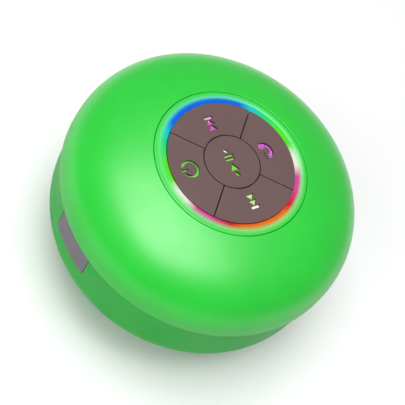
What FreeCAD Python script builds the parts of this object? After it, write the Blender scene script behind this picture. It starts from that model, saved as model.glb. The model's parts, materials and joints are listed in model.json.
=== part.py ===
"""Round shower speaker with a suction cup: a parametric FreeCAD model.

The row frame has +Z along the speaker's axis, from the wall side (the cup's rim, z = 0) to the key pad.
+Y is up when the speaker hangs on a wall, on the side of the power key and the charging port.
All sizes are millimetres and live in the spreadsheet "Sizes".
"""
import FreeCAD
import Part
import Sketcher
import math
import os

Vec = FreeCAD.Vector
doc = FreeCAD.newDocument("ShowerSpeaker")

# ----------------------------------------------------------------------------------------------
# Driving dimensions
# ----------------------------------------------------------------------------------------------
SIZES = {
    # housing
    "body_radius": 43.0,
    "total_height": 55.0,
    "widest_height": 34.27,
    "crease_height": 37.06,
    "shell_wall": 2.0,
    "crown_power": 2.21,
    "shoulder_power": 3.7,
    "band_inset": 0.5,
    "band_taper": 0.2,
    "band_base": 23.5,
    "rear_face": 13.0,
    "rear_corner": 10.0,
    "parting_gap": 0.16,
    "spigot_height": 3.1,
    "spigot_wall": 1.6,
    "slip_gap": 0.15,
    "seal_section": 0.5,
    "seal_rise": 1.8,
    # key pad and light ring
    "pad_radius": 18.4,
    "ring_clearance": 0.2,
    "ring_width": 1.45,
    "ring_flange_reach": 1.75,
    "ring_flange_depth": 1.3,
    "bezel_width": 2.09,
    "bezel_depth": 3.0,
    "ledge_clearance": 0.55,
    "ledge_reach": 1.86,
    "ledge_depth": 1.2,
    "centre_key_radius": 8.0,
    "key_gap": 0.26,
    "key_cap_depth": 2.0,
    "key_edge": 0.18,
    "symbol_recess": 0.8,
    "carrier_depth": 0.3,
    "key_travel": 0.5,
    "stem_radius": 1.9,
    "running_gap": 0.08,
    "symbol_key_depth": 10.4,
    "symbol_lift": 0.3,
    "frame_depth": 1.0,
    "membrane_depth": 0.3,
    # main board
    "board_radius": 28.0,
    "board_depth": 1.2,
    "board_top": 47.7,
    "switch_side": 4.5,
    "switch_depth": 1.6,
    "plunger_radius": 1.0,
    "led_side": 1.6,
    "led_depth": 0.8,
    "standoff_circle": 25.2,
    "standoff_radius": 1.7,
    # housing screws and bosses
    "boss_circle": 31.5,
    "boss_radius": 3.0,
    "boss_foot": 27.0,
    "screw_radius": 1.0,
    "screw_head_radius": 1.9,
    "screw_head_depth": 1.5,
    "screw_seat": 21.0,
    "screw_length": 13.0,
    "pilot_radius": 0.92,
    # battery
    "cell_length": 35.0,
    "cell_width": 25.0,
    "cell_depth": 5.5,
    "tape_depth": 0.2,
    "tray_radius": 27.0,
    "tray_depth": 1.2,
    "tray_seat": 36.0,
    "tray_lip": 3.5,
    "post_circle": 24.8,
    "post_radius": 2.2,
    # driver
    "driver_radius": 20.0,
    "driver_seat": 16.5,
    "gasket_depth": 0.8,
    "surround_lip": 0.5,
    "flange_depth": 1.2,
    "frame_height": 9.2,
    "cone_radius": 15.55,
    "cone_depth": 5.4,
    "coil_radius": 6.2,
    "pole_radius": 5.4,
    "plate_depth": 2.0,
    "magnet_radius": 14.0,
    "magnet_depth": 4.0,
    "magnet_bore": 7.5,
    # charging port and flap
    "flap_angle": 21.2,
    "flap_height": 8.6,
    "flap_depth": 1.05,
    "flap_middle": 32.0,
    "flap_proud": 0.1,
    "flap_gap": 0.15,
    "port_width": 10.6,
    "port_height": 6.0,
    "port_wall": 1.1,
    "port_depth": 36.0,
    "port_corner": 1.6,
    "socket_width": 8.94,
    "socket_height": 3.2,
    "socket_length": 7.3,
    "port_board_width": 19.0,
    "port_board_length": 8.1,
    "anchor_radius": 0.5,
    "barb_radius": 0.8,
    # suction cup and its snap socket
    "cup_radius": 30.0,
    "cup_rim": 1.0,
    "cup_crown": 10.6,
    "cup_wall": 2.4,
    "cup_neck": 3.95,
    "cup_head": 5.6,
    "cup_head_depth": 2.4,
    "snap_radius": 6.5,
    "snap_depth": 3.0,
    "snap_wall": 1.2,
    # sound slots
    "slot_width": 1.7,
    "slot_inner": 9.3,
    "slot_outer": 16.2,
    # leads
    "lead_radius": 0.5,
}

SLOTS = 16
RING_LIGHTS = 12
KEY_ANGLES = {"next": 0, "power": 90, "previous": 180, "call": 270}

sheet = doc.addObject("Spreadsheet::Sheet", "Sizes")
for row, (alias, amount) in enumerate(SIZES.items(), start=1):
    sheet.set("A%d" % row, alias)
    sheet.set("B%d" % row, str(amount))
    sheet.setAlias("B%d" % row, alias)
doc.recompute()


class Size:
    """A length that carries its number and the spreadsheet formula that it comes from."""

    def __init__(self, number, formula):
        self.number = number
        self.formula = formula

    def __add__(self, other):
        other = as_size(other)
        return Size(self.number + other.number, "(%s + %s)" % (self.formula, other.formula))

    def __sub__(self, other):
        other = as_size(other)
        return Size(self.number - other.number, "(%s - %s)" % (self.formula, other.formula))

    def __mul__(self, other):
        other = as_size(other)
        return Size(self.number * other.number, "(%s * %s)" % (self.formula, other.formula))

    def __truediv__(self, other):
        other = as_size(other)
        return Size(self.number / other.number, "(%s / %s)" % (self.formula, other.formula))

    def __neg__(self):
        return Size(-self.number, "(0 - %s)" % self.formula)

    def __radd__(self, other):
        return as_size(other) + self

    def __rsub__(self, other):
        return as_size(other) - self

    def __rmul__(self, other):
        return as_size(other) * self


def as_size(value):
    """Take a plain number or a Size as a Size."""
    if isinstance(value, Size):
        return value
    return Size(float(value), "%.6f" % value)


class Sheet:
    """Read the spreadsheet's cells by alias, as sizes."""

    def __getattr__(self, alias):
        return Size(float(sheet.get(alias)), "Sizes.%s" % alias)


S = Sheet()


def number(value):
    """The plain number of a Size."""
    return as_size(value).number


# Levels and radii that several pieces share, worked out once from the driving dimensions.
REAR_INNER = S.rear_face + S.shell_wall
BAND_TOP = S.crease_height - S.parting_gap
RING_INNER = S.pad_radius + S.ring_clearance
RING_OUTER = RING_INNER + S.ring_width
RING_FLANGE = RING_OUTER + S.ring_flange_reach
LEDGE_RADIUS = RING_OUTER + S.ledge_clearance
BEZEL_RADIUS = RING_OUTER + S.bezel_width
LEDGE_OUTER = BEZEL_RADIUS + S.ledge_reach
KEY_CIRCLE = (S.pad_radius + S.centre_key_radius) / 2
SYMBOL_SCALE = (S.pad_radius - S.centre_key_radius) / S.symbol_key_depth
BAND_RADIUS = S.body_radius - S.band_inset
BAND_LOW_RADIUS = BAND_RADIUS - S.band_taper
REAR_WALL = S.shell_wall + 0.2
SPIGOT_TOP = BAND_TOP + S.spigot_height
LEDGE_TOP = S.total_height - S.bezel_depth
LEDGE_LOW = LEDGE_TOP - S.ledge_depth
CAP_LOW = S.total_height - S.key_cap_depth
CARRIER_LOW = CAP_LOW - S.carrier_depth
MEMBRANE_TOP = CARRIER_LOW - S.key_travel - 0.05
FRAME_TOP = MEMBRANE_TOP - S.membrane_depth
FRAME_LOW = FRAME_TOP - S.frame_depth
BOARD_LOW = S.board_top - S.board_depth
SWITCH_TOP = S.board_top + S.switch_depth
PLUNGER_TOP = SWITCH_TOP + S.key_travel + 0.1
BOSS_TOP_REAR = S.boss_foot - 0.1
TRAY_TOP = S.tray_seat + S.tray_depth
SURROUND_LOW = S.driver_seat + S.gasket_depth
FLANGE_LOW = SURROUND_LOW + S.surround_lip
FLANGE_TOP = FLANGE_LOW + S.flange_depth
FRAME_BACK = FLANGE_LOW + S.frame_height
SPIDER_SEAT = FRAME_BACK - 2.2
PLATE_TOP = FRAME_BACK + S.plate_depth
MAGNET_TOP = PLATE_TOP + S.magnet_depth
YOKE_TOP = MAGNET_TOP + S.plate_depth
CONE_LOW = FLANGE_LOW - 0.2
CONE_NECK = CONE_LOW + S.cone_depth
FLAP_OUTER = BAND_RADIUS - S.band_taper / 2 + S.flap_proud
FLAP_INNER = FLAP_OUTER - S.flap_depth
FLAP_BASE = S.flap_middle - S.flap_height / 2
RECESS_FLOOR = FLAP_INNER - 0.1
PORT_BOARD_TOP = S.flap_middle - S.socket_height / 2
PORT_BOARD_LOW = PORT_BOARD_TOP - S.board_depth
PORT_BOARD_END = S.port_depth - 0.5


# ----------------------------------------------------------------------------------------------
# Ways to make a piece
# ----------------------------------------------------------------------------------------------
def bind(item, prop, value):
    """Set a property and tie it to its formula in the spreadsheet."""
    value = as_size(value)
    setattr(item, prop, value.number)
    item.setExpression(prop, value.formula)


def place(item, x=0, y=0, z=0, turn=0, axis=Vec(0, 0, 1)):
    """Put an item at a position bound to the sheet, turned by plain degrees about an axis."""
    spot = Vec(number(x), number(y), number(z))
    item.Placement = FreeCAD.Placement(spot, FreeCAD.Rotation(axis, turn))
    for letter, value in (("x", x), ("y", y), ("z", z)):
        item.setExpression("Placement.Base.%s" % letter, as_size(value).formula)
    return item


def label(item, node):
    """Name a finished piece."""
    item.Label = node
    return item


def origin_plane(body, role):
    """One of a body's own origin planes."""
    return [f for f in body.Origin.OriginFeatures if f.Role == role][0]


def turned(node, outline):
    """A body turned about Z from a closed outline of (radius, height) corners bound to the sheet."""
    body = doc.addObject("PartDesign::Body", "Body_" + node)
    sketch = body.newObject("Sketcher::SketchObject", "Outline_" + node)
    sketch.AttachmentSupport = (origin_plane(body, "XZ_Plane"), [""])
    sketch.MapMode = "FlatFace"
    corners = [Vec(number(r), number(z), 0) for r, z in outline]
    count = len(corners)
    lines = [Part.LineSegment(corners[i], corners[(i + 1) % count]) for i in range(count)]
    sketch.addGeometry(lines, False)
    for i in range(count):
        sketch.addConstraint(Sketcher.Constraint("Coincident", i, 2, (i + 1) % count, 1))
    for i, (r, z) in enumerate(outline):
        for kind, value in (("DistanceX", as_size(r)), ("DistanceY", as_size(z))):
            ring = Sketcher.Constraint(kind, -1, 1, i, 1, value.number)
            index = sketch.addConstraint(ring)
            if "Sizes" in value.formula:
                sketch.setExpression("Constraints[%d]" % index, value.formula)
    turn = body.newObject("PartDesign::Revolution", "Turn_" + node)
    turn.Profile = sketch
    turn.ReferenceAxis = (sketch, ["V_Axis"])
    turn.Angle = 360.0
    return label(body, node)


def ring(node, inner, outer, low, high):
    """A flat washer-like ring turned about Z."""
    return turned(node, [(inner, low), (outer, low), (outer, high), (inner, high)])


def disc(name, radius, low, depth, x=0, y=0):
    """An upright cylinder."""
    item = doc.addObject("Part::Cylinder", name)
    bind(item, "Radius", radius)
    bind(item, "Height", depth)
    return place(item, x, y, low)


def block(name, length, width, depth, x=0, y=0, z=0, turn=0):
    """A box centred on x and y, standing on z, turned about Z at its place."""
    item = doc.addObject("Part::Box", name)
    bind(item, "Length", length)
    bind(item, "Width", width)
    bind(item, "Height", depth)
    if turn == 0:
        return place(item, as_size(x) - as_size(length) / 2, as_size(y) - as_size(width) / 2, z)
    cosine = math.cos(math.radians(turn))
    sine = math.sin(math.radians(turn))
    half_length = as_size(length) / 2
    half_width = as_size(width) / 2
    corner_x = as_size(x) - half_length * cosine + half_width * sine
    corner_y = as_size(y) - half_length * sine - half_width * cosine
    return place(item, corner_x, corner_y, z, turn)


def cut(name, base, tool):
    """One item less another."""
    item = doc.addObject("Part::Cut", name)
    item.Base = base
    item.Tool = tool
    return item


def fuse(name, items):
    """Several items as one."""
    item = doc.addObject("Part::MultiFuse", name)
    item.Shapes = items
    return item


def group(node, items):
    """Separate solids under one name."""
    item = doc.addObject("Part::Compound", node)
    item.Links = items
    return label(item, node)


def polar(radius, angle):
    """The x and y of a place on a circle, bound to its radius."""
    turn = math.radians(angle)
    return as_size(radius) * math.cos(turn), as_size(radius) * math.sin(turn)


def feature(node, shape):
    """A piece whose shape is worked out from the sheet's values."""
    item = doc.addObject("Part::Feature", node)
    item.Shape = shape
    item.Placement = FreeCAD.Placement()
    return label(item, node)


def flat_face(wires):
    """A face in the XY plane from closed wires, the first one outside."""
    return Part.Face(wires)


def revolve(edges):
    """A solid of revolution about Z from edges in the XZ plane."""
    face = Part.Face(Part.Wire(edges))
    solid = face.revolve(Vec(0, 0, 0), Vec(0, 0, 1), 360)
    return solid


def line(start, end):
    """A straight edge between two (radius, height) corners."""
    return Part.LineSegment(Vec(start[0], 0, start[1]), Vec(end[0], 0, end[1])).toShape()


def curve(points):
    """A smooth edge through (radius, height) points."""
    spline = Part.BSplineCurve()
    spline.interpolate([Vec(r, 0, z) for r, z in points])
    return spline.toShape()


def bowl(rim, level, sag):
    """A round arc that sags below a rim and meets the axis squarely."""
    radius = (rim ** 2 + sag ** 2) / (2 * sag)
    middle = rim / 2
    drop = level - sag + radius - math.sqrt(radius ** 2 - middle ** 2)
    return Part.Arc(Vec(rim, 0, level), Vec(middle, 0, drop), Vec(0, 0, level - sag)).toShape()


def lines(points):
    """Straight edges along a run of (radius, height) corners."""
    return [line(points[i], points[i + 1]) for i in range(len(points) - 1)]


def cylinder(radius, low, high, x=0.0, y=0.0):
    """An upright cylinder as a plain shape."""
    return Part.makeCylinder(radius, high - low, Vec(x, y, low))


def around(radius, angles):
    """Places on a circle at the given angles, as plain numbers."""
    return [(radius * math.cos(math.radians(a)), radius * math.sin(math.radians(a))) for a in angles]


BOSS_ANGLES = (45, 135, 225, 315)
POST_ANGLES = (0, 90, 180, 270)
DRIVER_SCREW_ANGLES = (45, 165, 285)


# ----------------------------------------------------------------------------------------------
# Housing
# ----------------------------------------------------------------------------------------------
def dome_points(radius, inset, first, last, count=14):
    """Points of the dome's generating curve, |r/R|^a + |z/H|^b = 1, from one radius to another."""
    base = number(S.widest_height)
    crown = number(S.crown_power)
    shoulder = number(S.shoulder_power)
    flat = 1.0 - (number(BEZEL_RADIUS) / number(S.body_radius)) ** crown
    rise = (number(S.total_height) - base) / flat ** (1.0 / shoulder)
    # Heights step evenly near the wall and radii step evenly near the crown.
    points = []
    for i in range(count + 1):
        share = math.sin(math.pi / 2 * i / count)
        r = first + (last - first) * (1.0 - math.sqrt(1.0 - share * share))
        level = (rise - inset) * (1.0 - (r / radius) ** crown) ** (1.0 / shoulder)
        points.append((r, base + level))
    return points


def dome_radius(radius, inset, height):
    """The dome's radius at a height."""
    base = number(S.widest_height)
    crown = number(S.crown_power)
    shoulder = number(S.shoulder_power)
    flat = 1.0 - (number(BEZEL_RADIUS) / number(S.body_radius)) ** crown
    rise = (number(S.total_height) - base) / flat ** (1.0 / shoulder) - inset
    return radius * (1.0 - ((height - base) / rise) ** shoulder) ** (1.0 / crown)


def dome_inside(height):
    """The radius of the dome's inner face at a height."""
    wall = number(S.shell_wall)
    return dome_radius(number(S.body_radius) - wall, wall, height)


def spigot_radius():
    """The outer radius of the rear shell's spigot, a slip fit in the dome at its top."""
    return dome_inside(number(SPIGOT_TOP)) - number(S.slip_gap)


def make_front_shell():
    """The green dome, with a ledge for the bezel, screw bosses and board standoffs."""
    radius = number(S.body_radius)
    wall = number(S.shell_wall)
    edge = number(S.crease_height)
    outer_edge = dome_radius(radius, 0.0, edge)
    inner_edge = dome_radius(radius - wall, wall, edge)
    opening = number(BEZEL_RADIUS)
    ledge = number(LEDGE_OUTER)
    outer = dome_points(radius, 0.0, outer_edge, opening)
    inner = dome_points(radius - wall, wall, inner_edge, ledge)
    well = [
        outer[-1],
        (opening, number(LEDGE_TOP)),
        (number(LEDGE_RADIUS), number(LEDGE_TOP)),
        (number(LEDGE_RADIUS), number(LEDGE_LOW)),
        (ledge, number(LEDGE_LOW)),
        inner[-1],
    ]
    edges = [curve(outer)] + lines(well) + [curve(inner[::-1])] + lines([inner[0], outer[0]])
    shell = revolve(edges)
    low_corner = (0.0, edge)
    core = [curve(outer), line(outer[-1], (0.0, outer[-1][1])), line((0.0, outer[-1][1]), low_corner)]
    bulk = revolve(core + [line(low_corner, outer[0])])
    skirt = cylinder(radius, number(S.boss_foot), edge)
    bulk = bulk.fuse(skirt)
    bosses = [
        cylinder(number(S.boss_radius), number(S.boss_foot), number(S.total_height), x, y)
        for x, y in around(number(S.boss_circle), BOSS_ANGLES)
    ]
    standoffs = [
        cylinder(number(S.standoff_radius), number(S.board_top), number(S.total_height), x, y)
        for x, y in around(number(S.standoff_circle), POST_ANGLES)
    ]
    posts = bosses[0].fuse(bosses[1:] + standoffs)
    posts = posts.common(bulk.cut(cylinder(ledge - 0.5, 0.0, number(S.total_height))))
    shell = shell.fuse(posts)
    screw_end = number(S.screw_seat + S.screw_length) + 1
    pilots = [
        cylinder(number(S.screw_radius) + 0.02, number(S.boss_foot), screw_end, x, y)
        for x, y in around(number(S.boss_circle), BOSS_ANGLES)
    ]
    pilots += [
        cylinder(number(S.screw_radius) - 0.08, number(S.board_top), number(S.board_top) + 3.2, x, y)
        for x, y in around(number(S.standoff_circle), POST_ANGLES)
    ]
    shell = shell.cut(pilots[0].fuse(pilots[1:]))
    return feature("front_shell", shell)


def make_control_bezel():
    """The green ring between the thin seam and the light ring, pressed onto the dome's ledge."""
    outer = BEZEL_RADIUS - 0.12
    inner = RING_OUTER + 0.03
    top = S.total_height
    return turned("control_bezel", [
        (inner, LEDGE_TOP),
        (outer, LEDGE_TOP),
        (outer, top - 0.2),
        (outer - 0.2, top),
        (inner + 0.2, top),
        (inner, top - 0.2),
    ])


def make_light_ring():
    """The translucent light guide, with a foot flange trapped under the dome's ledge."""
    foot_top = LEDGE_LOW - 0.05
    foot_low = foot_top - S.ring_flange_depth
    return turned("light_ring", [
        (RING_INNER, foot_low),
        (RING_FLANGE, foot_low),
        (RING_FLANGE, foot_top),
        (RING_OUTER, foot_top),
        (RING_OUTER, S.total_height - 0.15),
        (RING_OUTER - 0.15, S.total_height),
        (RING_INNER + 0.15, S.total_height),
        (RING_INNER, S.total_height - 0.15),
    ])


def make_rear_shell():
    """The green band and rear face in one moulding, with sound slots, cup socket, bosses and port."""
    face = number(S.rear_face)
    inner_face = number(REAR_INNER)
    base = number(S.band_base)
    top = number(BAND_TOP)
    low_radius = number(BAND_LOW_RADIUS)
    corner = number(S.rear_corner)
    wall = number(REAR_WALL)
    centre = low_radius - corner
    steps = [i * math.pi / 2 / 8 for i in range(9)]
    outer_turn = [(centre + corner * math.cos(a), base - (base - face) * math.sin(a)) for a in steps]
    inner_turn = [
        (centre + (corner - wall) * math.cos(a), base - (base - inner_face) * math.sin(a)) for a in steps
    ]
    snap = number(S.snap_radius)
    snap_top = inner_face + number(S.snap_depth)
    snap_roof = snap_top + number(S.snap_wall)
    neck = number(S.cup_neck) + number(S.running_gap)
    seal_mid = top + number(S.seal_rise)
    groove = number(S.seal_section) + 0.15
    spigot_outer = spigot_radius()
    spigot_inner = spigot_outer - number(S.spigot_wall)
    seal_floor = seal_centre() - number(S.seal_section) - 0.02
    spigot = [
        (number(BAND_RADIUS), top),
        (spigot_outer, top),
        (spigot_outer, seal_mid - groove),
        (seal_floor, seal_mid - groove),
        (seal_floor, seal_mid + groove),
        (spigot_outer, seal_mid + groove),
        (spigot_outer, number(SPIGOT_TOP)),
        (spigot_inner, number(SPIGOT_TOP)),
        (spigot_inner, top - 2.0),
        (low_radius - wall, top - 3.0),
        (low_radius - wall, base),
    ]
    inside = [
        (centre, inner_face),
        (snap + number(S.snap_wall), inner_face),
        (snap + number(S.snap_wall), snap_roof),
        (0.0, snap_roof),
        (0.0, snap_top),
        (snap, snap_top),
        (snap, inner_face),
        (neck, inner_face),
        (neck, face),
        (centre, face),
    ]
    edges = [line(outer_turn[0], (number(BAND_RADIUS), top))]
    edges += lines(spigot)
    edges += [curve(inner_turn)] + lines(inside) + [curve(outer_turn[::-1])]
    shell = revolve(edges)

    # The driver sits in a ring with three screw posts.
    seat = number(S.driver_seat)
    flange_top = number(FLANGE_TOP)
    rim = number(S.driver_radius) + 0.2
    extras = [
        cylinder(rim + 1.2, inner_face - 0.5, flange_top - 0.5).cut(cylinder(rim, 0.0, flange_top)),
        cylinder(rim + 0.2, inner_face - 0.5, seat).cut(cylinder(number(S.driver_radius) - 2.6, 0.0, seat)),
    ]
    for x, y in around(number(S.driver_radius) + 2.1, DRIVER_SCREW_ANGLES):
        extras.append(cylinder(1.8, inner_face - 0.5, flange_top, x, y))
    for x, y in around(number(S.boss_circle), BOSS_ANGLES):
        extras.append(cylinder(number(S.boss_radius) + 0.2, inner_face - 0.5, number(BOSS_TOP_REAR), x, y))
    for x, y in around(number(S.post_circle), POST_ANGLES):
        extras.append(cylinder(number(S.post_radius), inner_face - 0.5, number(S.tray_seat), x, y))
    for x, y in port_screw_places():
        extras.append(cylinder(2.0, inner_face - 0.5, number(PORT_BOARD_LOW), x, y))

    # The tunnel that leads a plug to the charging socket.
    tunnel_wide = number(S.port_width) + 2 * number(S.port_wall)
    tunnel_high = number(S.port_height) + 2 * number(S.port_wall)
    middle = number(S.flap_middle)
    start = number(S.port_depth)
    reach = number(RECESS_FLOOR) - 0.6
    tunnel_corner = Vec(-tunnel_wide / 2, start, middle - tunnel_high / 2)
    extras.append(Part.makeBox(tunnel_wide, reach - start, tunnel_high, tunnel_corner))
    keep = cylinder(low_radius - 0.6, face, top + 10)
    shell = shell.fuse([extra.common(keep) for extra in extras])

    pilot = number(S.pilot_radius)
    holes = []
    for x, y in around(number(S.boss_circle), BOSS_ANGLES):
        holes.append(cylinder(number(S.screw_head_radius) + 0.35, face - 1, number(S.screw_seat), x, y))
        holes.append(cylinder(number(S.screw_radius) + 0.15, face, number(S.boss_foot) + 1, x, y))
    for x, y in around(number(S.post_circle), POST_ANGLES):
        holes.append(cylinder(pilot, number(S.tray_seat) - 5, number(S.tray_seat) + 1, x, y))
    for x, y in port_screw_places():
        holes.append(cylinder(pilot, number(PORT_BOARD_LOW) - 4.5, number(PORT_BOARD_LOW) + 1, x, y))
    for x, y in around(number(S.driver_radius) + 2.1, DRIVER_SCREW_ANGLES):
        holes.append(cylinder(pilot, inner_face, flange_top + 1, x, y))
    for i in range(SLOTS):
        angle = 360.0 * i / SLOTS
        holes.append(sound_slot(angle, face - 1, inner_face + 1))
    port = (number(S.port_width), number(S.port_height))
    holes.append(rounded_bar(*port, start - 1, number(S.body_radius), middle, number(S.port_corner)))
    holes.append(flap_sector(number(RECESS_FLOOR), number(S.body_radius) + 2, number(S.flap_gap)))
    for x in (-1, 1):
        holes.append(anchor_bore(x))
    shell = shell.cut(holes[0].fuse(holes[1:]))
    return feature("rear_shell", shell)


def sound_slot(angle, low, high):
    """A radial slot with round ends."""
    half = number(S.slot_width) / 2
    first = number(S.slot_inner) + half
    last = number(S.slot_outer) - half
    slot = Part.makeBox(last - first, 2 * half, high - low, Vec(first, -half, low))
    slot = slot.fuse([cylinder(half, low, high, first, 0), cylinder(half, low, high, last, 0)])
    slot = slot.removeSplitter()
    slot.rotate(Vec(0, 0, 0), Vec(0, 0, 1), angle)
    return slot


def port_screw_places():
    """Where the port board is screwed down."""
    side = number(S.port_board_width) / 2 - 2.0
    depth = number(PORT_BOARD_END) - number(S.port_board_length) + 2.1
    return [(-side, depth), (side, depth)]


def rounded_bar(width, height, start, end, middle, radius):
    """A bar along Y with a rounded rectangular section, centred on x = 0 and z = middle."""
    bar = Part.makeBox(width, end - start, height, Vec(-width / 2, start, middle - height / 2))
    corners = [e for e in bar.Edges if abs(e.tangentAt(e.FirstParameter).y) > 0.99]
    return bar.makeFillet(radius, corners)


def flap_sector(inner, outer, gap):
    """The curved plate that the flap fills, grown by a gap on its four sides."""
    half = math.radians(number(S.flap_angle) / 2) + gap / number(FLAP_OUTER)
    base = number(FLAP_BASE) - gap
    high = number(S.flap_height) + 2 * gap
    sector = Part.makeCylinder(outer, high, Vec(0, 0, base), Vec(0, 0, 1), math.degrees(2 * half))
    sector.rotate(Vec(0, 0, 0), Vec(0, 0, 1), 90 - math.degrees(half))
    return sector.cut(cylinder(inner, base - 1, base + high + 1))


def anchor_place(side):
    """The x and z of one of the flap's anchors, beside the tunnel."""
    x = number(S.port_width) / 2 + number(S.port_wall) + number(S.barb_radius) + 0.05
    return side * x, number(FLAP_BASE) + 0.9


def anchor_bore(side):
    """A small hole for one of the flap's rubber anchors."""
    x, z = anchor_place(side)
    radius = number(S.anchor_radius) + 0.04
    return Part.makeCylinder(radius, 8.0, Vec(x, number(S.body_radius) - 6.0, z), Vec(0, 1, 0))


def seal_centre():
    """The radius of the seal's own ring, which just meets the dome's inner face."""
    section = number(S.seal_section)
    return dome_inside(number(BAND_TOP + S.seal_rise) + section) - section - 0.02


def make_shell_seal():
    """The soft ring squeezed between the spigot and the dome."""
    seal = Part.makeTorus(seal_centre(), number(S.seal_section), Vec(0, 0, number(BAND_TOP + S.seal_rise)))
    return feature("shell_seal", seal)


def screw(name, head_radius, head_depth, shank_radius, length, x, y, seat, up=True):
    """A pan-head screw with a cross recess. Its head lies under the seat when it points up."""
    x = as_size(x)
    y = as_size(y)
    seat = as_size(seat)
    head_low = seat - head_depth if up else seat
    shank_low = seat - 0.02 if up else seat - length
    head = disc(name + "_head", head_radius, head_low, head_depth, x, y)
    shank = disc(name + "_shank", shank_radius, shank_low, as_size(length) + 0.02, x, y)
    body = fuse(name + "_body", [head, shank])
    slot = as_size(head_radius) * 1.2
    slot_low = head_low - 0.01 if up else seat + as_size(head_depth) * 0.45
    slot_high = as_size(head_depth) * 0.55 + 0.01
    bars = [
        block(name + "_bar_a", slot, 0.5, slot_high, x, y, slot_low),
        block(name + "_bar_b", 0.5, slot, slot_high, x, y, slot_low),
    ]
    cross = fuse(name + "_cross", bars)
    return cut(name + ("_up" if up else "_down"), body, cross)


def make_housing_screws():
    """Four screws from the rear shell into the dome's bosses."""
    screws = []
    for i, angle in enumerate(BOSS_ANGLES):
        x, y = polar(S.boss_circle, angle)
        screws.append(screw("housing_%d" % i, S.screw_head_radius, S.screw_head_depth, S.screw_radius,
                            S.screw_length, x, y, S.screw_seat))
    return group("housing_screws", screws)


def make_acoustic_mesh():
    """The water-repelling mesh behind the sound slots."""
    low = REAR_INNER + 0.02
    return ring("acoustic_mesh", S.snap_radius + S.snap_wall + 0.3, S.driver_radius - 3.0, low, low + 0.2)


# ----------------------------------------------------------------------------------------------
# Keys
# ----------------------------------------------------------------------------------------------
def polygon(points):
    """A closed wire through corners in the XY plane."""
    ends = [Vec(x, y, 0) for x, y in points]
    return Part.makePolygon(ends + [ends[0]])


def skip_symbol(way):
    """Two arrows and a bar, pointing away from the centre along X: one closed outline."""
    half = 1.4
    neck = 0.12
    arrow = 1.75
    bar = 0.8
    side = [
        (0.0, -half),
        (arrow, -neck),
        (arrow, -half),
        (2 * arrow - 0.1, -neck),
        (2 * arrow - 0.1, -half),
        (2 * arrow + bar, -half),
    ]
    outline = side + [(x, -y) for x, y in side[::-1]]
    middle = number(KEY_CIRCLE)
    scale = number(SYMBOL_SCALE)
    lift = number(S.symbol_lift)
    return [polygon([(way * (middle + scale * (x - 2.9)), scale * (lift + y)) for x, y in outline])]


def upright_bar(left, right, low, high):
    """A closed wire round a rectangle in the XY plane."""
    return polygon([(left, low), (right, low), (right, high), (left, high)])


def leaf(x, y, length, width, angle):
    """A leaf-shaped outline of two arcs."""
    turn = math.radians(angle)
    along = Vec(math.cos(turn), math.sin(turn), 0)
    across = Vec(-math.sin(turn), math.cos(turn), 0)
    middle = Vec(x, y, 0)
    tip_a = middle - along * (length / 2)
    tip_b = middle + along * (length / 2)
    upper = Part.Arc(tip_a, middle + across * (width / 2), tip_b).toShape()
    lower = Part.Arc(tip_b, middle - across * (width / 2), tip_a).toShape()
    return Part.Wire([upper, lower])


def play_symbol():
    """A play arrow, two pause bars and a leaf at each end."""
    lift = number(S.symbol_lift)
    arrow = polygon([(-2.6, lift - 1.4), (-0.3, lift), (-2.6, lift + 1.4)])
    bars = []
    for left in (0.45, 1.55):
        bars.append(upright_bar(left, left + 0.7, lift - 1.5, lift + 1.5))
    leaves = [leaf(3.45, lift + 0.05, 1.95, 1.1, 40), leaf(-3.85, lift + 0.05, 1.75, 1.1, 40)]
    return [arrow] + bars + leaves


def power_symbol():
    """A broken ring with a bar in its gap."""
    scale = number(SYMBOL_SCALE)
    centre = Vec(1.4 * scale, number(KEY_CIRCLE) - 0.45 * scale, 0)
    outer = 2.6 * scale
    inner = 1.85 * scale
    start = math.radians(90 + 26)
    end = math.radians(90 - 26 + 360)

    def spot(radius, angle):
        return centre + Vec(radius * math.cos(angle), radius * math.sin(angle), 0)

    middle = (start + end) / 2
    loop = Part.Wire([
        Part.Arc(spot(outer, start), spot(outer, middle), spot(outer, end)).toShape(),
        Part.LineSegment(spot(outer, end), spot(inner, end)).toShape(),
        Part.Arc(spot(inner, end), spot(inner, middle), spot(inner, start)).toShape(),
        Part.LineSegment(spot(inner, start), spot(outer, start)).toShape(),
    ])
    half = 0.32 * scale
    bar = upright_bar(centre.x - half, centre.x + half, centre.y + 0.75 * scale, centre.y + 2.75 * scale)
    return [loop, bar]


def call_symbol():
    """A telephone handset lying on its back, tilted, as one outline of arcs and lines."""
    scale = number(SYMBOL_SCALE)
    base = 1.3 * scale - number(KEY_CIRCLE)

    def spot(x, y):
        return Vec(scale * x, base + scale * y, 0)

    outline = Part.Wire([
        Part.Arc(spot(-2.35, 0.1), spot(0.35, -1.6), spot(2.85, 1.5)).toShape(),
        Part.LineSegment(spot(2.85, 1.5), spot(2.7, 2.05)).toShape(),
        Part.LineSegment(spot(2.7, 2.05), spot(1.55, 2.45)).toShape(),
        Part.LineSegment(spot(1.55, 2.45), spot(0.9, 1.7)).toShape(),
        Part.LineSegment(spot(0.9, 1.7), spot(1.2, 0.35)).toShape(),
        Part.Arc(spot(1.2, 0.35), spot(0.45, -0.45), spot(-0.55, -0.35)).toShape(),
        Part.LineSegment(spot(-0.55, -0.35), spot(-1.1, 0.65)).toShape(),
        Part.LineSegment(spot(-1.1, 0.65), spot(-2.15, 0.85)).toShape(),
        Part.LineSegment(spot(-2.15, 0.85), spot(-2.35, 0.1)).toShape(),
    ])
    return [outline]


def sound_holes(low, high):
    """Three small holes that let the microphone hear through the call key."""
    scale = number(SYMBOL_SCALE)
    y = 2.75 * scale - number(KEY_CIRCLE)
    return [cylinder(0.24, low, high, scale * x, y) for x in (-2.1, -1.3, -0.5)]


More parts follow.
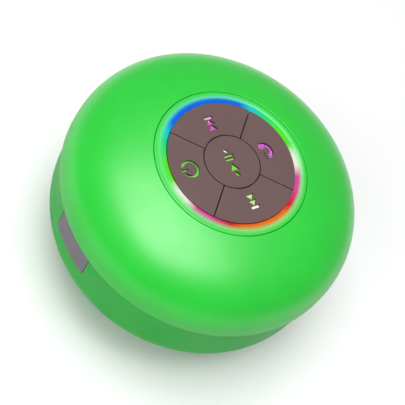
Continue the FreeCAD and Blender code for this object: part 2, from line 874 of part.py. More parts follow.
SYMBOLS = {
    "next": skip_symbol(1),
    "previous": skip_symbol(-1),
    "power": power_symbol(),
    "call": call_symbol(),
    "centre": play_symbol(),
}


def prism(wires, low, high):
    """Upright solids over closed outlines."""
    solids = []
    for wire in wires:
        solid = flat_face([wire]).extrude(Vec(0, 0, high - low))
        solid.translate(Vec(0, 0, low))
        solids.append(solid)
    return solids


def key_outline(name, shrink=0.0):
    """The closed outline of one key, drawn in by an even margin."""
    gap = number(S.key_gap)
    if name == "centre":
        circle = Part.Circle(Vec(0, 0, 0), Vec(0, 0, 1), number(S.centre_key_radius) - shrink)
        return Part.Wire(circle.toShape())
    inner = number(S.centre_key_radius) + gap + shrink
    outer = number(S.pad_radius) - shrink
    side = gap / 2 + shrink
    middle = math.radians(KEY_ANGLES[name])

    def spot(radius, way):
        angle = middle + way * (math.pi / 4 - math.asin(side / radius))
        return Vec(radius * math.cos(angle), radius * math.sin(angle), 0)

    def crown(radius):
        return Vec(radius * math.cos(middle), radius * math.sin(middle), 0)

    return Part.Wire([
        Part.Arc(spot(outer, -1), crown(outer), spot(outer, 1)).toShape(),
        Part.LineSegment(spot(outer, 1), spot(inner, 1)).toShape(),
        Part.Arc(spot(inner, 1), crown(inner), spot(inner, -1)).toShape(),
        Part.LineSegment(spot(inner, -1), spot(outer, -1)).toShape(),
    ])


def make_key_cap(name):
    """An opaque key with its symbol cut through."""
    low = number(CAP_LOW)
    top = number(S.total_height)
    cap = prism([key_outline(name)], low, top)[0]
    rim = [e for e in cap.Edges if abs(e.BoundBox.ZMin - top) < 1e-6 and abs(e.BoundBox.ZMax - top) < 1e-6]
    cap = cap.makeFillet(number(S.key_edge), rim)
    holes = prism(SYMBOLS[name], low - 1, top + 1)
    if name == "call":
        holes += sound_holes(low - 1, top + 1)
    cap = cap.cut(holes[0].fuse(holes[1:]) if len(holes) > 1 else holes[0])
    return feature("key_cap_" + name, cap)


def make_key_symbol(name):
    """The translucent piece under a key: the lit symbol, its carrier and the stem to the switch."""
    low = number(CARRIER_LOW)
    mid = number(CAP_LOW)
    face = number(S.total_height) - number(S.symbol_recess)
    carrier = prism([key_outline(name, 0.5)], low, mid)[0]
    x, y = stem_place(name)
    stem = cylinder(number(S.stem_radius), number(PLUNGER_TOP), mid, x, y)
    islands = prism(SYMBOLS[name], low, face)
    whole = carrier.fuse([stem] + islands)
    if name == "call":
        holes = sound_holes(low - 1, face)
        whole = whole.cut(holes[0].fuse(holes[1:]))
    return feature("key_symbol_" + name, whole)


def stem_place(name):
    """Where a key's stem stands."""
    if name == "centre":
        return 0.0, 0.0
    return around(number(KEY_CIRCLE), [KEY_ANGLES[name]])[0]


def make_switch_plunger(name):
    """The moving button of a key's switch."""
    x, y = stem_place(name)
    low = SWITCH_TOP - 0.4
    piece = disc("plunger_" + name, S.plunger_radius, low, PLUNGER_TOP - low, x, y)
    return label(piece, "switch_plunger_" + name)


KEYS = ["centre"] + list(KEY_ANGLES)


def make_key_frame():
    """The plate that guides the key stems, standing on the main board by its skirt."""
    rim = S.pad_radius - 0.05
    plate = turned("key_frame_blank", [
        (0, FRAME_LOW),
        (rim - 1.0, FRAME_LOW),
        (rim - 1.0, S.board_top),
        (rim, S.board_top),
        (rim, FRAME_TOP),
        (0, FRAME_TOP),
    ])
    low = FRAME_LOW - 1
    depth = S.frame_depth + 2
    guides = []
    for name in KEYS:
        x, y = stem_place(name)
        guides.append(disc("guide_" + name, S.stem_radius + S.running_gap, low, depth, x, y))
    sound = disc("frame_sound_hole", 1.0, low, depth, -1.3 * SYMBOL_SCALE, 3.4 * SYMBOL_SCALE - KEY_CIRCLE)
    return label(cut("key_frame_cut", plate, fuse("key_guides", guides + [sound])), "key_frame")


def make_key_membrane():
    """The soft sheet that seals each stem."""
    sheet_disc = disc("membrane_blank", S.pad_radius - 0.05, FRAME_TOP, S.membrane_depth)
    seals = []
    for name in KEYS:
        x, y = stem_place(name)
        seals.append(disc("wiper_" + name, S.stem_radius + 0.04, FRAME_TOP - 1, S.membrane_depth + 2, x, y))
    return label(cut("membrane_cut", sheet_disc, fuse("wipers", seals)), "key_membrane")


# ----------------------------------------------------------------------------------------------
# Boards and battery
# ----------------------------------------------------------------------------------------------
def make_main_board():
    """The round main board."""
    blank = disc("main_board_blank", S.board_radius, BOARD_LOW, S.board_depth)
    holes = []
    for angle in POST_ANGLES:
        x, y = polar(S.standoff_circle, angle)
        holes.append(disc("board_hole_%d" % angle, 1.1, BOARD_LOW - 1, S.board_depth + 2, x, y))
    return label(cut("main_board_cut", blank, fuse("board_holes", holes)), "main_board")


def make_ring_leds():
    """Lights in a circle under the light guide."""
    middle = (RING_INNER + RING_OUTER) / 2
    lights = []
    for i in range(RING_LIGHTS):
        angle = 360.0 * (i + 0.5) / RING_LIGHTS
        x, y = polar(middle + 0.6, angle)
        lights.append(block("led_%d" % i, S.led_side, S.led_side, S.led_depth, x, y, S.board_top, angle))
    return group("ring_leds", lights)


def make_key_switches():
    """Five push switches under the key stems."""
    switches = []
    for name in KEYS:
        x, y = stem_place(name)
        case = block("switch_case_" + name, S.switch_side, S.switch_side, S.switch_depth, x, y, S.board_top)
        bore = disc("switch_bore_" + name, S.plunger_radius + 0.06, SWITCH_TOP - 1.1, 2.0, x, y)
        switches.append(cut("switch_" + name, case, bore))
    return group("key_switches", switches)


def make_microphone():
    """The microphone, beside the call key's switch."""
    x = -1.3 * SYMBOL_SCALE
    y = -KEY_CIRCLE / 2 - 1.2 * SYMBOL_SCALE
    body = disc("mic_body", 2.0, S.board_top, 1.4, x, y)
    port = disc("mic_port", 0.4, S.board_top + 1.0, 1.0, x, y)
    return label(cut("mic_cut", body, port), "microphone")


def make_radio_module():
    """The wireless module, a screened box on its own small board."""
    base = block("radio_base", 15.0, 11.0, 0.8, -9.0, 12.0, BOARD_LOW - 0.8)
    can = block("radio_can", 11.0, 9.0, 1.5, -10.2, 12.0, BOARD_LOW - 2.3)
    return label(fuse("radio_fuse", [base, can]), "radio_module")


def make_audio_chips():
    """The amplifier, the charger and the light driver."""
    chips = [
        block("amplifier", 5.0, 5.0, 0.9, 9.0, 12.0, BOARD_LOW - 0.9),
        block("charger", 4.0, 4.0, 0.9, 12.0, -12.0, BOARD_LOW - 0.9),
        block("light_driver", 5.0, 4.0, 0.9, -12.0, -12.0, BOARD_LOW - 0.9),
    ]
    return group("audio_chips", chips)


def make_board_parts():
    """Small parts on the board's underside: round capacitors, coils and rows of chip parts."""
    parts = [
        disc("capacitor_a", 2.0, BOARD_LOW - 3.0, 3.0, 15.5, 9.0),
        disc("capacitor_b", 2.0, BOARD_LOW - 3.0, 3.0, 15.5, 14.5),
        block("coil", 4.0, 4.0, 2.0, 2.0, 13.0, BOARD_LOW - 2.0),
    ]
    for i in range(6):
        parts.append(block("chip_row_a%d" % i, 1.0, 0.6, 0.45, -3.0 + 1.8 * i, -18.5, BOARD_LOW - 0.45))
        parts.append(block("chip_row_b%d" % i, 0.6, 1.0, 0.45, 18.5, -4.0 + 1.6 * i, BOARD_LOW - 0.45))
    return group("board_parts", parts)


def make_lead_connectors():
    """Sockets on the board's underside where the three pairs of leads plug in."""
    sockets = []
    for name, angle, radius in LEAD_SOCKETS:
        x, y = polar(radius, angle)
        sockets.append(block("socket_" + name, 4.0, 5.0, 2.2, x, y, BOARD_LOW - 2.2, angle))
    return group("lead_connectors", sockets)


LEAD_SOCKETS = (("speaker", 205, 22.5), ("battery", 335, 22.5), ("port", 70, 22.5))


def make_board_screws():
    """Four screws that hold the main board to the dome."""
    screws = []
    for angle in POST_ANGLES:
        x, y = polar(S.standoff_circle, angle)
        screws.append(screw("board_%d" % angle, 1.7, 1.2, 0.9, S.board_depth + 2.8, x, y, BOARD_LOW))
    return group("board_screws", screws)


def make_battery_tray():
    """The round tray on the rear shell's posts, with a lip around the cell."""
    plate = disc("tray_plate", S.tray_radius, S.tray_seat, S.tray_depth)
    lip_height = S.tray_depth + S.tray_lip
    lip = block("tray_lip_out", S.cell_length + 3.0, S.cell_width + 3.0, lip_height, 0, 0, S.tray_seat)
    inside = block("tray_lip_in", S.cell_length + 0.6, S.cell_width + 0.6, S.tray_lip + 1, 0, 0, TRAY_TOP)
    exit_cut = block("tray_lead_exit", 4.0, 6.0, S.tray_lip + 1, S.cell_length / 2 + 1.5, 0, TRAY_TOP)
    holes = [inside, exit_cut]
    for angle in POST_ANGLES:
        x, y = polar(S.post_circle, angle)
        holes.append(disc("tray_hole_%d" % angle, 1.1, S.tray_seat - 1, S.tray_depth + 2, x, y))
    solid = fuse("tray_solid", [plate, lip])
    return label(cut("tray_cut", solid, fuse("tray_holes", holes)), "battery_tray")


def make_tray_screws():
    """Four screws that hold the tray to its posts."""
    screws = []
    for angle in POST_ANGLES:
        x, y = polar(S.post_circle, angle)
        screws.append(screw("tray_%d" % angle, 1.9, 1.2, 0.9, S.tray_depth + 4.0, x, y, TRAY_TOP, up=False))
    return group("tray_screws", screws)


def make_battery():
    """The flat cell and the double-sided tape under it."""
    tape = block("battery_tape", S.cell_length - 6.0, S.cell_width - 6.0, S.tape_depth, 0, 0, TRAY_TOP)
    label(tape, "battery_tape")
    low = TRAY_TOP + S.tape_depth
    cell = block("cell_blank", S.cell_length, S.cell_width, S.cell_depth, 0, 0, low)
    soft = doc.addObject("Part::Fillet", "cell_soft")
    soft.Base = cell
    doc.recompute()
    rounds = []
    for i, edge in enumerate(cell.Shape.Edges, start=1):
        if abs(edge.tangentAt(edge.FirstParameter).x) > 0.99:
            rounds.append((i, 1.6, 1.6))
    soft.Edges = rounds
    label(soft, "battery_cell")


def make_port_board():
    """The small board that carries the charging socket."""
    middle = PORT_BOARD_END - S.port_board_length / 2
    size = (S.port_board_width, S.port_board_length, S.board_depth)
    blank = block("port_board_blank", *size, 0, middle, PORT_BOARD_LOW)
    holes = []
    for i, (x, y) in enumerate(port_screw_places()):
        holes.append(disc("port_hole_%d" % i, 1.1, PORT_BOARD_LOW - 1, S.board_depth + 2, x, y))
    return label(cut("port_board_cut", blank, fuse("port_holes", holes)), "port_board")


def make_charging_socket():
    """A generic oval charging socket: a drawn metal shell and its contact tongue."""
    width = number(S.socket_width)
    height = number(S.socket_height)
    middle = number(S.flap_middle)
    mouth = number(S.port_depth) - 0.1
    back = mouth - number(S.socket_length)
    shell = rounded_bar(width, height, back, mouth, middle, height / 2 - 0.02)
    room = rounded_bar(width - 0.6, height - 0.6, back + 1.0, mouth + 1.0, middle, height / 2 - 0.32)
    tongue_corner = Vec(1.2 - width / 2, back + 0.6, middle - 0.35)
    tongue = Part.makeBox(width - 2.4, mouth - back - 1.6, 0.7, tongue_corner)
    return feature("charging_socket", shell.cut(room).fuse(tongue))


def make_port_board_screws():
    """Two screws that hold the port board."""
    screws = []
    for i, (x, y) in enumerate(port_screw_places()):
        length = S.board_depth + 3.8
        screws.append(screw("port_%d" % i, 1.7, 1.2, 0.9, length, x, y, PORT_BOARD_TOP, up=False))
    return group("port_board_screws", screws)


def rounded_path(points):
    """Straight runs joined by tangent arcs, each as large as its two runs allow."""
    edges = []
    start = points[0]
    for i in range(1, len(points) - 1):
        before = points[i] - points[i - 1]
        after = points[i + 1] - points[i]
        shorter = min(before.Length, after.Length)
        way_in = Vec(before).normalize()
        way_out = Vec(after).normalize()
        half_turn = way_in.getAngle(way_out) / 2
        setback = 0.45 * shorter
        radius = setback / math.tan(half_turn)
        first = points[i] - way_in * setback
        last = points[i] + way_out * setback
        inward = (way_out - way_in).normalize()
        centre = points[i] + inward * (radius / math.cos(half_turn))
        middle = centre - inward * radius
        edges.append(Part.LineSegment(start, first).toShape())
        edges.append(Part.Arc(first, middle, last).toShape())
        start = last
    edges.append(Part.LineSegment(start, points[-1]).toShape())
    return Part.Wire(edges)


def lead(points):
    """A round lead along a route."""
    path = rounded_path(points)
    radius = number(S.lead_radius)
    way = points[1] - points[0]
    section = Part.Wire(Part.Circle(points[0], way, radius).toShape())
    tube = path.makePipeShell([section], True, False)
    expected = math.pi * radius ** 2 * path.Length
    if abs(tube.Volume - expected) > 0.02 * expected:
        raise ValueError("a lead's volume is off: %.2f against %.2f" % (tube.Volume, expected))
    return tube


def spot_on(radius, angle, height, side=0.0):
    """A point at a radius and angle about Z, moved sideways by a distance."""
    turn = math.radians(angle)
    x = radius * math.cos(turn) - side * math.sin(turn)
    y = radius * math.sin(turn) + side * math.cos(turn)
    return Vec(x, y, height)


def make_leads():
    """The pairs of leads from the driver, the cell and the port board to the main board."""
    plug = number(BOARD_LOW) - 2.2
    edge = number(S.tray_radius) + 1.6
    tray = number(S.tray_seat)
    terminal = number(FLANGE_TOP) + 3.5
    cell_end = number(S.cell_length) / 2
    cell_level = number(TRAY_TOP) + 3.0
    port_start = number(PORT_BOARD_TOP)
    port_side = number(S.socket_width) / 2 + 1.6
    port_depth = number(PORT_BOARD_END) - 2.4
    gap = number(S.lead_radius) + 0.15
    speaker = []
    battery = []
    port = []
    for side in (-gap, gap):
        speaker.append(lead([
            spot_on(number(S.driver_radius) - 0.5, 205, terminal, side),
            spot_on(number(S.driver_radius) - 0.5, 205, terminal + 3.0, side),
            spot_on(edge, 205, tray - 6.0, side),
            spot_on(edge, 205, tray + 2.0, side),
            spot_on(22.5, 205, plug - 3.5, side),
            spot_on(22.5, 205, plug, side),
        ]))
        battery.append(lead([
            Vec(cell_end, side, cell_level),
            Vec(cell_end + 2.6, side, cell_level),
            spot_on(22.5, 348, cell_level + 0.8, side),
            spot_on(22.5, 335, plug - 2.0, side),
            spot_on(22.5, 335, plug, side),
        ]))
        port.append(lead([
            Vec(port_side + side, port_depth, port_start),
            Vec(port_side + side, port_depth, port_start + 4.5),
            spot_on(edge + 1.0, 76, tray + 4.0, -side),
            spot_on(22.5, 70, plug - 3.0, -side),
            spot_on(22.5, 70, plug, -side),
        ]))
    feature("speaker_leads", Part.makeCompound(speaker))
    feature("battery_leads", Part.makeCompound(battery))
    feature("port_leads", Part.makeCompound(port))


# ----------------------------------------------------------------------------------------------
# Driver, facing the rear
# ----------------------------------------------------------------------------------------------
def make_driver_frame():
    """The pressed-steel frame with four windows."""
    back = FRAME_BACK
    seat = SPIDER_SEAT
    rim = S.driver_radius
    blank = turned("driver_frame_blank", [
        (rim, FLANGE_LOW),
        (rim, FLANGE_TOP),
        (rim - 1.1, FLANGE_TOP),
        (S.magnet_radius + 0.8, back - 2.0),
        (S.magnet_radius + 0.8, back),
        (S.pole_radius + 2.6, back),
        (S.pole_radius + 2.6, back - 1.0),
        (S.magnet_radius - 1.6, back - 1.0),
        (S.magnet_radius - 1.6, seat),
        (S.magnet_radius - 0.1, seat),
        (rim - 2.0, FLANGE_TOP - 0.1),
        (rim - 2.8, FLANGE_TOP - 0.1),
        (rim - 2.8, FLANGE_LOW),
    ])
    windows = []
    for angle in BOSS_ANGLES:
        x, y = polar(S.driver_radius - 3.0, angle)
        size = seat - FLANGE_TOP - 1.4
        windows.append(block("window_%d" % angle, 9.0, 11.0, size, x, y, FLANGE_TOP + 0.8, angle))
    return label(cut("driver_frame_cut", blank, fuse("driver_windows", windows)), "driver_frame")


def make_driver_core():
    """Gasket, front plate, magnet ring and yoke with its pole."""
    ring("driver_gasket", S.driver_radius - 2.5, S.driver_radius, S.driver_seat, SURROUND_LOW)
    ring("driver_top_plate", S.coil_radius + 0.8, S.magnet_radius - 0.6, FRAME_BACK, PLATE_TOP)
    ring("driver_magnet", S.magnet_bore, S.magnet_radius, PLATE_TOP, MAGNET_TOP)
    turned("driver_yoke", [
        (0, FRAME_BACK),
        (S.pole_radius, FRAME_BACK),
        (S.pole_radius, MAGNET_TOP),
        (S.magnet_radius - 1.0, MAGNET_TOP),
        (S.magnet_radius - 1.0, YOKE_TOP - 0.5),
        (S.magnet_radius - 1.5, YOKE_TOP),
        (0, YOKE_TOP),
    ])


def make_driver_terminals():
    """The solder strip that stands on the frame's flange."""
    x, y = polar(S.driver_radius - 0.5, 205)
    return label(block("terminal_strip", 1.0, 6.5, 3.5, x, y, FLANGE_TOP, 205), "driver_terminals")


def make_driver_screws():
    """Three screws whose heads clamp the frame's flange."""
    screws = []
    for angle in DRIVER_SCREW_ANGLES:
        x, y = polar(S.driver_radius + 2.1, angle)
        screws.append(screw("driver_%d" % angle, 2.5, 1.3, 0.9, 3.4, x, y, FLANGE_TOP, up=False))
    return group("driver_screws", screws)


def make_moving_coil():
    """Cone, dust cap and voice coil, which move together."""
    thick = 0.4
    neck = S.coil_radius + 0.1
    turned("cone", [
        (S.cone_radius, CONE_LOW),
        (S.cone_radius, CONE_LOW + thick),
        (neck, CONE_NECK + thick),
        (neck, CONE_NECK),
    ])
    turned("voice_coil", [
        (S.coil_radius - 0.2, CONE_NECK - 0.3),
        (S.coil_radius, CONE_NECK - 0.3),
        (S.coil_radius, FRAME_BACK - 0.5),
        (S.coil_radius + 0.35, FRAME_BACK - 0.5),
        (S.coil_radius + 0.35, PLATE_TOP + 0.5),
        (S.coil_radius - 0.2, PLATE_TOP + 0.5),
    ])
    rim = number(S.coil_radius) + 0.9
    slope = number(S.cone_depth) / (number(S.cone_radius) - number(neck))
    level = number(CONE_NECK) - slope * (rim - number(neck)) - 0.05
    sag = 1.1
    skin = 0.3
    edges = [
        bowl(rim, level - skin, sag),
        line((0, level - skin - sag), (0, level - sag)),
        bowl(rim, level, sag),
        line((rim, level), (rim, level - skin)),
    ]
    feature("dust_cap", revolve(edges))


def make_surround():
    """The rubber half-roll between the cone and the frame, with its glued lip."""
    low = number(SURROUND_LOW)
    top = number(FLANGE_LOW)
    outer = number(S.driver_radius) - 0.4
    start = number(S.cone_radius) + 0.05
    lip = number(S.driver_radius) - 2.7
    middle = (start + lip) / 2
    big = (lip - start) / 2
    small = big - 0.3
    level = (low + top) / 2
    roll = (Vec(middle + small, 0, level), Vec(middle - small, 0, level))
    edges = [
        line((lip, level), (lip, low)),
        line((lip, low), (outer, low)),
        line((outer, low), (outer, top)),
        line((outer, top), (middle + small, top)),
        line((middle + small, top), (middle + small, level)),
        Part.Arc(roll[0], Vec(middle, 0, level - small), roll[1]).toShape(),
        line((middle - small, level), (middle - small, top)),
        line((middle - small, top), (start, top)),
        line((start, top), (start, level)),
        Part.Arc(Vec(start, 0, level), Vec(middle, 0, level - big), Vec(lip, 0, level)).toShape(),
    ]
    feature("surround", revolve(edges))


def make_spider():
    """The corrugated cloth ring that centres the voice coil."""
    inner = number(S.coil_radius) + 0.05
    outer = number(S.magnet_radius) - 0.2
    top = number(SPIDER_SEAT)
    waves = 3
    flat = 1.5
    span = outer - flat - inner - 0.6
    upper = [(inner, top), (inner + 0.6, top)]
    for i in range(1, 2 * waves):
        r = inner + 0.6 + span * i / (2 * waves)
        upper.append((r, top - (0.8 if i % 2 else 0.0)))
    upper.append((outer - flat, top))
    upper.append((outer, top))
    lower = [(r, z - 0.35) for r, z in upper[::-1]]
    feature("spider", revolve(lines(upper + lower + [upper[0]])))


# ----------------------------------------------------------------------------------------------
# Flap and suction cup
# ----------------------------------------------------------------------------------------------
def make_port_flap():
    """The soft flap over the charging port, with a plug that fills the tunnel's mouth."""
    plate = flap_sector(number(FLAP_INNER), number(FLAP_OUTER), 0.0)
    wide = number(S.port_width) - 0.5
    high = number(S.port_height) - 1.1
    start = number(FLAP_INNER) - 1.2
    end = number(FLAP_OUTER) - 0.65
    plug = rounded_bar(wide, high, start, end, number(S.flap_middle), 1.4)
    return feature("port_flap", plate.fuse(plug))


def make_flap_anchors():
    """Two rubber barbs through the band that hold the flap's lower corners."""
    anchors = []
    for side in (-1, 1):
        x, z = anchor_place(side)
        radius = number(S.anchor_radius)
        outside = abs(x) + number(S.barb_radius)
        face = math.sqrt(number(RECESS_FLOOR) ** 2 - (abs(x) + radius) ** 2) - 0.03
        inside = math.sqrt((number(BAND_LOW_RADIUS) - number(REAR_WALL)) ** 2 - outside ** 2) - 0.1
        pin = Part.makeCylinder(radius, face - inside + 1.0, Vec(x, inside - 1.0, z), Vec(0, 1, 0))
        tip = Vec(x, inside - 1.2, z)
        barb = Part.makeCone(radius - 0.1, number(S.barb_radius), 1.2, tip, Vec(0, 1, 0))
        anchors.append(pin.fuse(barb))
    return feature("flap_anchors", Part.makeCompound(anchors))


def make_suction_cup():
    """The soft cup: a thin bell with a rim in the plane z = 0, a neck and a snap head."""
    rim = number(S.cup_radius)
    lip = number(S.cup_rim)
    crown = number(S.cup_crown)
    wall = number(S.cup_wall)
    neck = number(S.cup_neck)
    head = number(S.cup_head)
    head_low = number(REAR_INNER) + 0.15
    head_top = head_low + number(S.cup_head_depth)
    upper = [
        (rim, 0.35),
        (rim - 0.2 * rim, crown * 0.42),
        (rim * 0.5, crown * 0.78),
        (neck + 3.0, crown),
    ]
    middle = 0.1 * rim
    lower = [
        (middle, crown - wall),
        (rim * 0.27, crown * 0.7),
        (rim * 0.55, crown * 0.52),
        (rim - 0.16 * rim, crown * 0.2),
        (rim - lip, 0.0),
    ]
    shoulder = number(S.rear_face) - 0.3
    edges = [
        line((rim, 0.0), upper[0]),
        curve(upper),
        line(upper[-1], (neck + 1.2, shoulder)),
        line((neck + 1.2, shoulder), (neck, shoulder)),
        line((neck, shoulder), (neck, head_low)),
        line((neck, head_low), (head, head_low)),
        line((head, head_low), (head, head_low + 0.9)),
        line((head, head_low + 0.9), (head - 1.6, head_top)),
        line((head - 1.6, head_top), (0.0, head_top)),
        line((0.0, head_top), (0.0, crown - wall)),
        line((0.0, crown - wall), lower[0]),
        curve(lower),
        line(lower[-1], (rim, 0.0)),
    ]
    return feature("suction_cup", revolve(edges))


# ----------------------------------------------------------------------------------------------
# Build, check and write
# ----------------------------------------------------------------------------------------------
make_front_shell()
make_control_bezel()
make_light_ring()
make_rear_shell()
make_shell_seal()
make_housing_screws()
make_acoustic_mesh()
for key_name in KEYS:
    make_key_cap(key_name)
    make_key_symbol(key_name)
    make_switch_plunger(key_name)
make_key_frame()
make_key_membrane()
make_main_board()
make_ring_leds()
make_key_switches()
make_microphone()
make_radio_module()
make_audio_chips()
make_board_parts()
make_lead_connectors()
make_board_screws()
make_battery_tray()
make_tray_screws()
make_battery()
make_port_board()
make_charging_socket()
make_port_board_screws()
make_leads()
make_driver_frame()
make_driver_core()
make_driver_terminals()
make_driver_screws()
make_moving_coil()
make_surround()
make_spider()
make_port_flap()
make_flap_anchors()
make_suction_cup()
doc.recompute()

NODES = [
    "front_shell", "control_bezel", "light_ring", "rear_shell", "shell_seal", "housing_screws",
    "acoustic_mesh", "key_frame", "key_membrane", "main_board", "ring_leds", "key_switches", "microphone",
    "radio_module", "audio_chips", "board_parts", "lead_connectors", "board_screws", "battery_tray",
    "tray_screws", "battery_tape", "battery_cell", "port_board", "charging_socket", "port_board_screws",
    "speaker_leads", "battery_leads", "port_leads", "driver_frame", "driver_gasket", "driver_top_plate",
    "driver_magnet", "driver_yoke", "driver_terminals", "driver_screws", "cone", "dust_cap", "voice_coil",
    "surround", "spider", "port_flap", "flap_anchors", "suction_cup",
]
for key_name in KEYS:
    NODES += ["key_cap_" + key_name, "key_symbol_" + key_name, "switch_plunger_" + key_name]

for item in doc.Objects:
    if "Invalid" in item.State or "Error" in item.State:
        raise ValueError("%s failed: %s" % (item.Name, item.State))

os.makedirs("parts", exist_ok=True)
for node in NODES:
    piece = doc.getObjectsByLabel(node)[0]
    shape = piece.Shape
    if shape.isNull() or not shape.isValid() or not shape.Solids:
        raise ValueError("%s has no valid solid" % node)
    print("%-22s solids %2d  volume %9.2f mm3" % (node, len(shape.Solids), shape.Volume))
    shape.exportStep(os.path.join("parts", node + ".step"))
print("wrote %d pieces" % len(NODES))
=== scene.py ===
# %% [markdown]
# # A shower speaker, finished in Blender
# The speaker is a round splash-proof shell with five lit keys, a rainbow light ring, a rubber port flap
# and a suction cup. The sizes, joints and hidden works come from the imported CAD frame. This lesson adds the
# finishes, and remodels the pieces whose surface the eye reads first: the dome, the rings, the flap and
# the cup. Everything is in metres, in the frame's own axes: +Z through the keys, +Y up on the wall.

# %% Load the frame
import json
import math

import bmesh
import bpy
from mathutils import Matrix, Vector


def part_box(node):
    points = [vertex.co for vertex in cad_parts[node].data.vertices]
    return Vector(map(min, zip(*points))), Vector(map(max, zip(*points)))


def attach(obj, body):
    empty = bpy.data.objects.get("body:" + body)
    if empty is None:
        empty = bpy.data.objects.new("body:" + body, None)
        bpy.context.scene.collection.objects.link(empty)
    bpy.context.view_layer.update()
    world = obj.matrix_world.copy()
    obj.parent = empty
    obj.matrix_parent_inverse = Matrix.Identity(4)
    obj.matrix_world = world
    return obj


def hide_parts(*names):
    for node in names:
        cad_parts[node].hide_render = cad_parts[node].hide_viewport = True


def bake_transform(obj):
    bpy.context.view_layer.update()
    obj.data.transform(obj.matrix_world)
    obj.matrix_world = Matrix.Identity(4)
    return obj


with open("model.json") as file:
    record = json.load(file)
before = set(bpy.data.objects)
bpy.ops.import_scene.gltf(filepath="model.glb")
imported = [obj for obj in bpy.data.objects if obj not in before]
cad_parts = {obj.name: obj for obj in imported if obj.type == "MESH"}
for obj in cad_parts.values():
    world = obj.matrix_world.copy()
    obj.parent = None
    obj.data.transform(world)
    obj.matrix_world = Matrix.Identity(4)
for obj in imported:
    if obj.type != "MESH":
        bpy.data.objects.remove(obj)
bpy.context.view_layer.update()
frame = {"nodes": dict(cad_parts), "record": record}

MM = 0.001
NODES = frame["nodes"]
# The key face, and the crease where the dome ends above the green band.
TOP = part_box("control_bezel")[1].z
CREASE = 37.06 * MM
print("frame loaded:", len(NODES), "pieces, key face at %.1f mm" % (TOP / MM))

# %% [markdown]
# ## The camera
# A product shot of a small object is taken from some way off with a long lens, so that round shapes stay
# round. The camera stands on the port's side, a little more than half way up to overhead, and it is rolled,
# so that the speaker leans to the right as if tossed in the air. Three angles and a distance give its place.

# %% Camera
ELEVATION = math.radians(53.96)
BEARING = math.radians(120.0)
ROLL = math.radians(37.17)
DISTANCE = 278.7 * MM
AIM_DEPTH = 13.5 * MM
AIM = Vector((0.0, 0.0, TOP - AIM_DEPTH))
FOCAL_LENGTH, SENSOR_WIDTH = 88.9, 36.0
NEAREST, FARTHEST = 0.01, 20.0
# How far right of and above the view's middle the aimed point lies, as a share of the distance.
OFF_CENTRE = Vector((0.01216, 0.01756, -1.0))

back = Vector((
    math.cos(ELEVATION) * math.cos(BEARING),
    math.cos(ELEVATION) * math.sin(BEARING),
    math.sin(ELEVATION),
))
level = Vector((-math.sin(BEARING), math.cos(BEARING), 0.0))
rise = back.cross(level)
right = level * math.cos(ROLL) + rise * math.sin(ROLL)
upward = -level * math.sin(ROLL) + rise * math.cos(ROLL)
basis = Matrix((right, upward, back)).transposed()
# Turn the camera a little, so that the aimed point lands off centre.
turn = Vector((0.0, 0.0, -1.0)).rotation_difference(OFF_CENTRE.normalized()).inverted()

lens = bpy.data.cameras.new("camera")
lens.lens = FOCAL_LENGTH
lens.sensor_width = SENSOR_WIDTH
lens.clip_start = NEAREST
lens.clip_end = FARTHEST
camera = bpy.data.objects.new("camera", lens)
camera.matrix_world = Matrix.Translation(AIM + back * DISTANCE) @ (basis @ turn.to_matrix()).to_4x4()
bpy.context.scene.collection.objects.link(camera)
bpy.context.scene.camera = camera
print("camera at", [round(c, 4) for c in camera.location])

# %% [markdown]
# ## The studio
# The shell is a clean bright plastic, and it is shown on white. A white world gives even light from all
# sides, and a wide soft panel overhead puts the broad pale crescent on the shell's shoulder. A second panel,
# on the camera's side, only lifts the shadows. It is kept out of reflections, where it would draw a second
# crescent. The standard view transform keeps the saturated ring colours as they are mixed.

# %% Studio
WORLD_STRENGTH = 0.30
world = bpy.data.worlds.new("studio")
world.use_nodes = True
background = world.node_tree.nodes["Background"]
background.inputs["Color"].default_value = (1.0, 1.0, 1.0, 1.0)
background.inputs["Strength"].default_value = WORLD_STRENGTH
bpy.context.scene.world = world
bpy.context.scene.view_settings.view_transform = "Standard"


def soft_panel(name, place, size, power):
    """A soft rectangular light that faces the speaker. Sizes are in metres."""
    panel = bpy.data.lights.new(name, "AREA")
    panel.shape = "RECTANGLE"
    panel.size, panel.size_y = size
    panel.energy = power
    light = bpy.data.objects.new(name, panel)
    light.location = place
    light.rotation_mode = "QUATERNION"
    light.rotation_quaternion = (Vector(place) - AIM).to_track_quat("Z", "Y")
    bpy.context.scene.collection.objects.link(light)
    return light


soft_panel("overhead_panel", place=(0.02, 0.07, 0.60), size=(0.46, 0.40), power=3.15)
fill = soft_panel("fill_panel", place=(-0.10, 0.60, 0.50), size=(0.55, 0.40), power=1.9)
fill.visible_glossy = False
print("studio: white world and two soft panels")

# %% [markdown]
# ## Shader sums in Python
# Most finishes are small sums: a grain times a strength, one mask less another. Writing each as a chain of
# node calls hides the sum, so a small class wraps a socket and lets the usual signs add the Math nodes.
# Colours never go through these signs, because a Math node turns a colour grey: they go through Mix nodes.

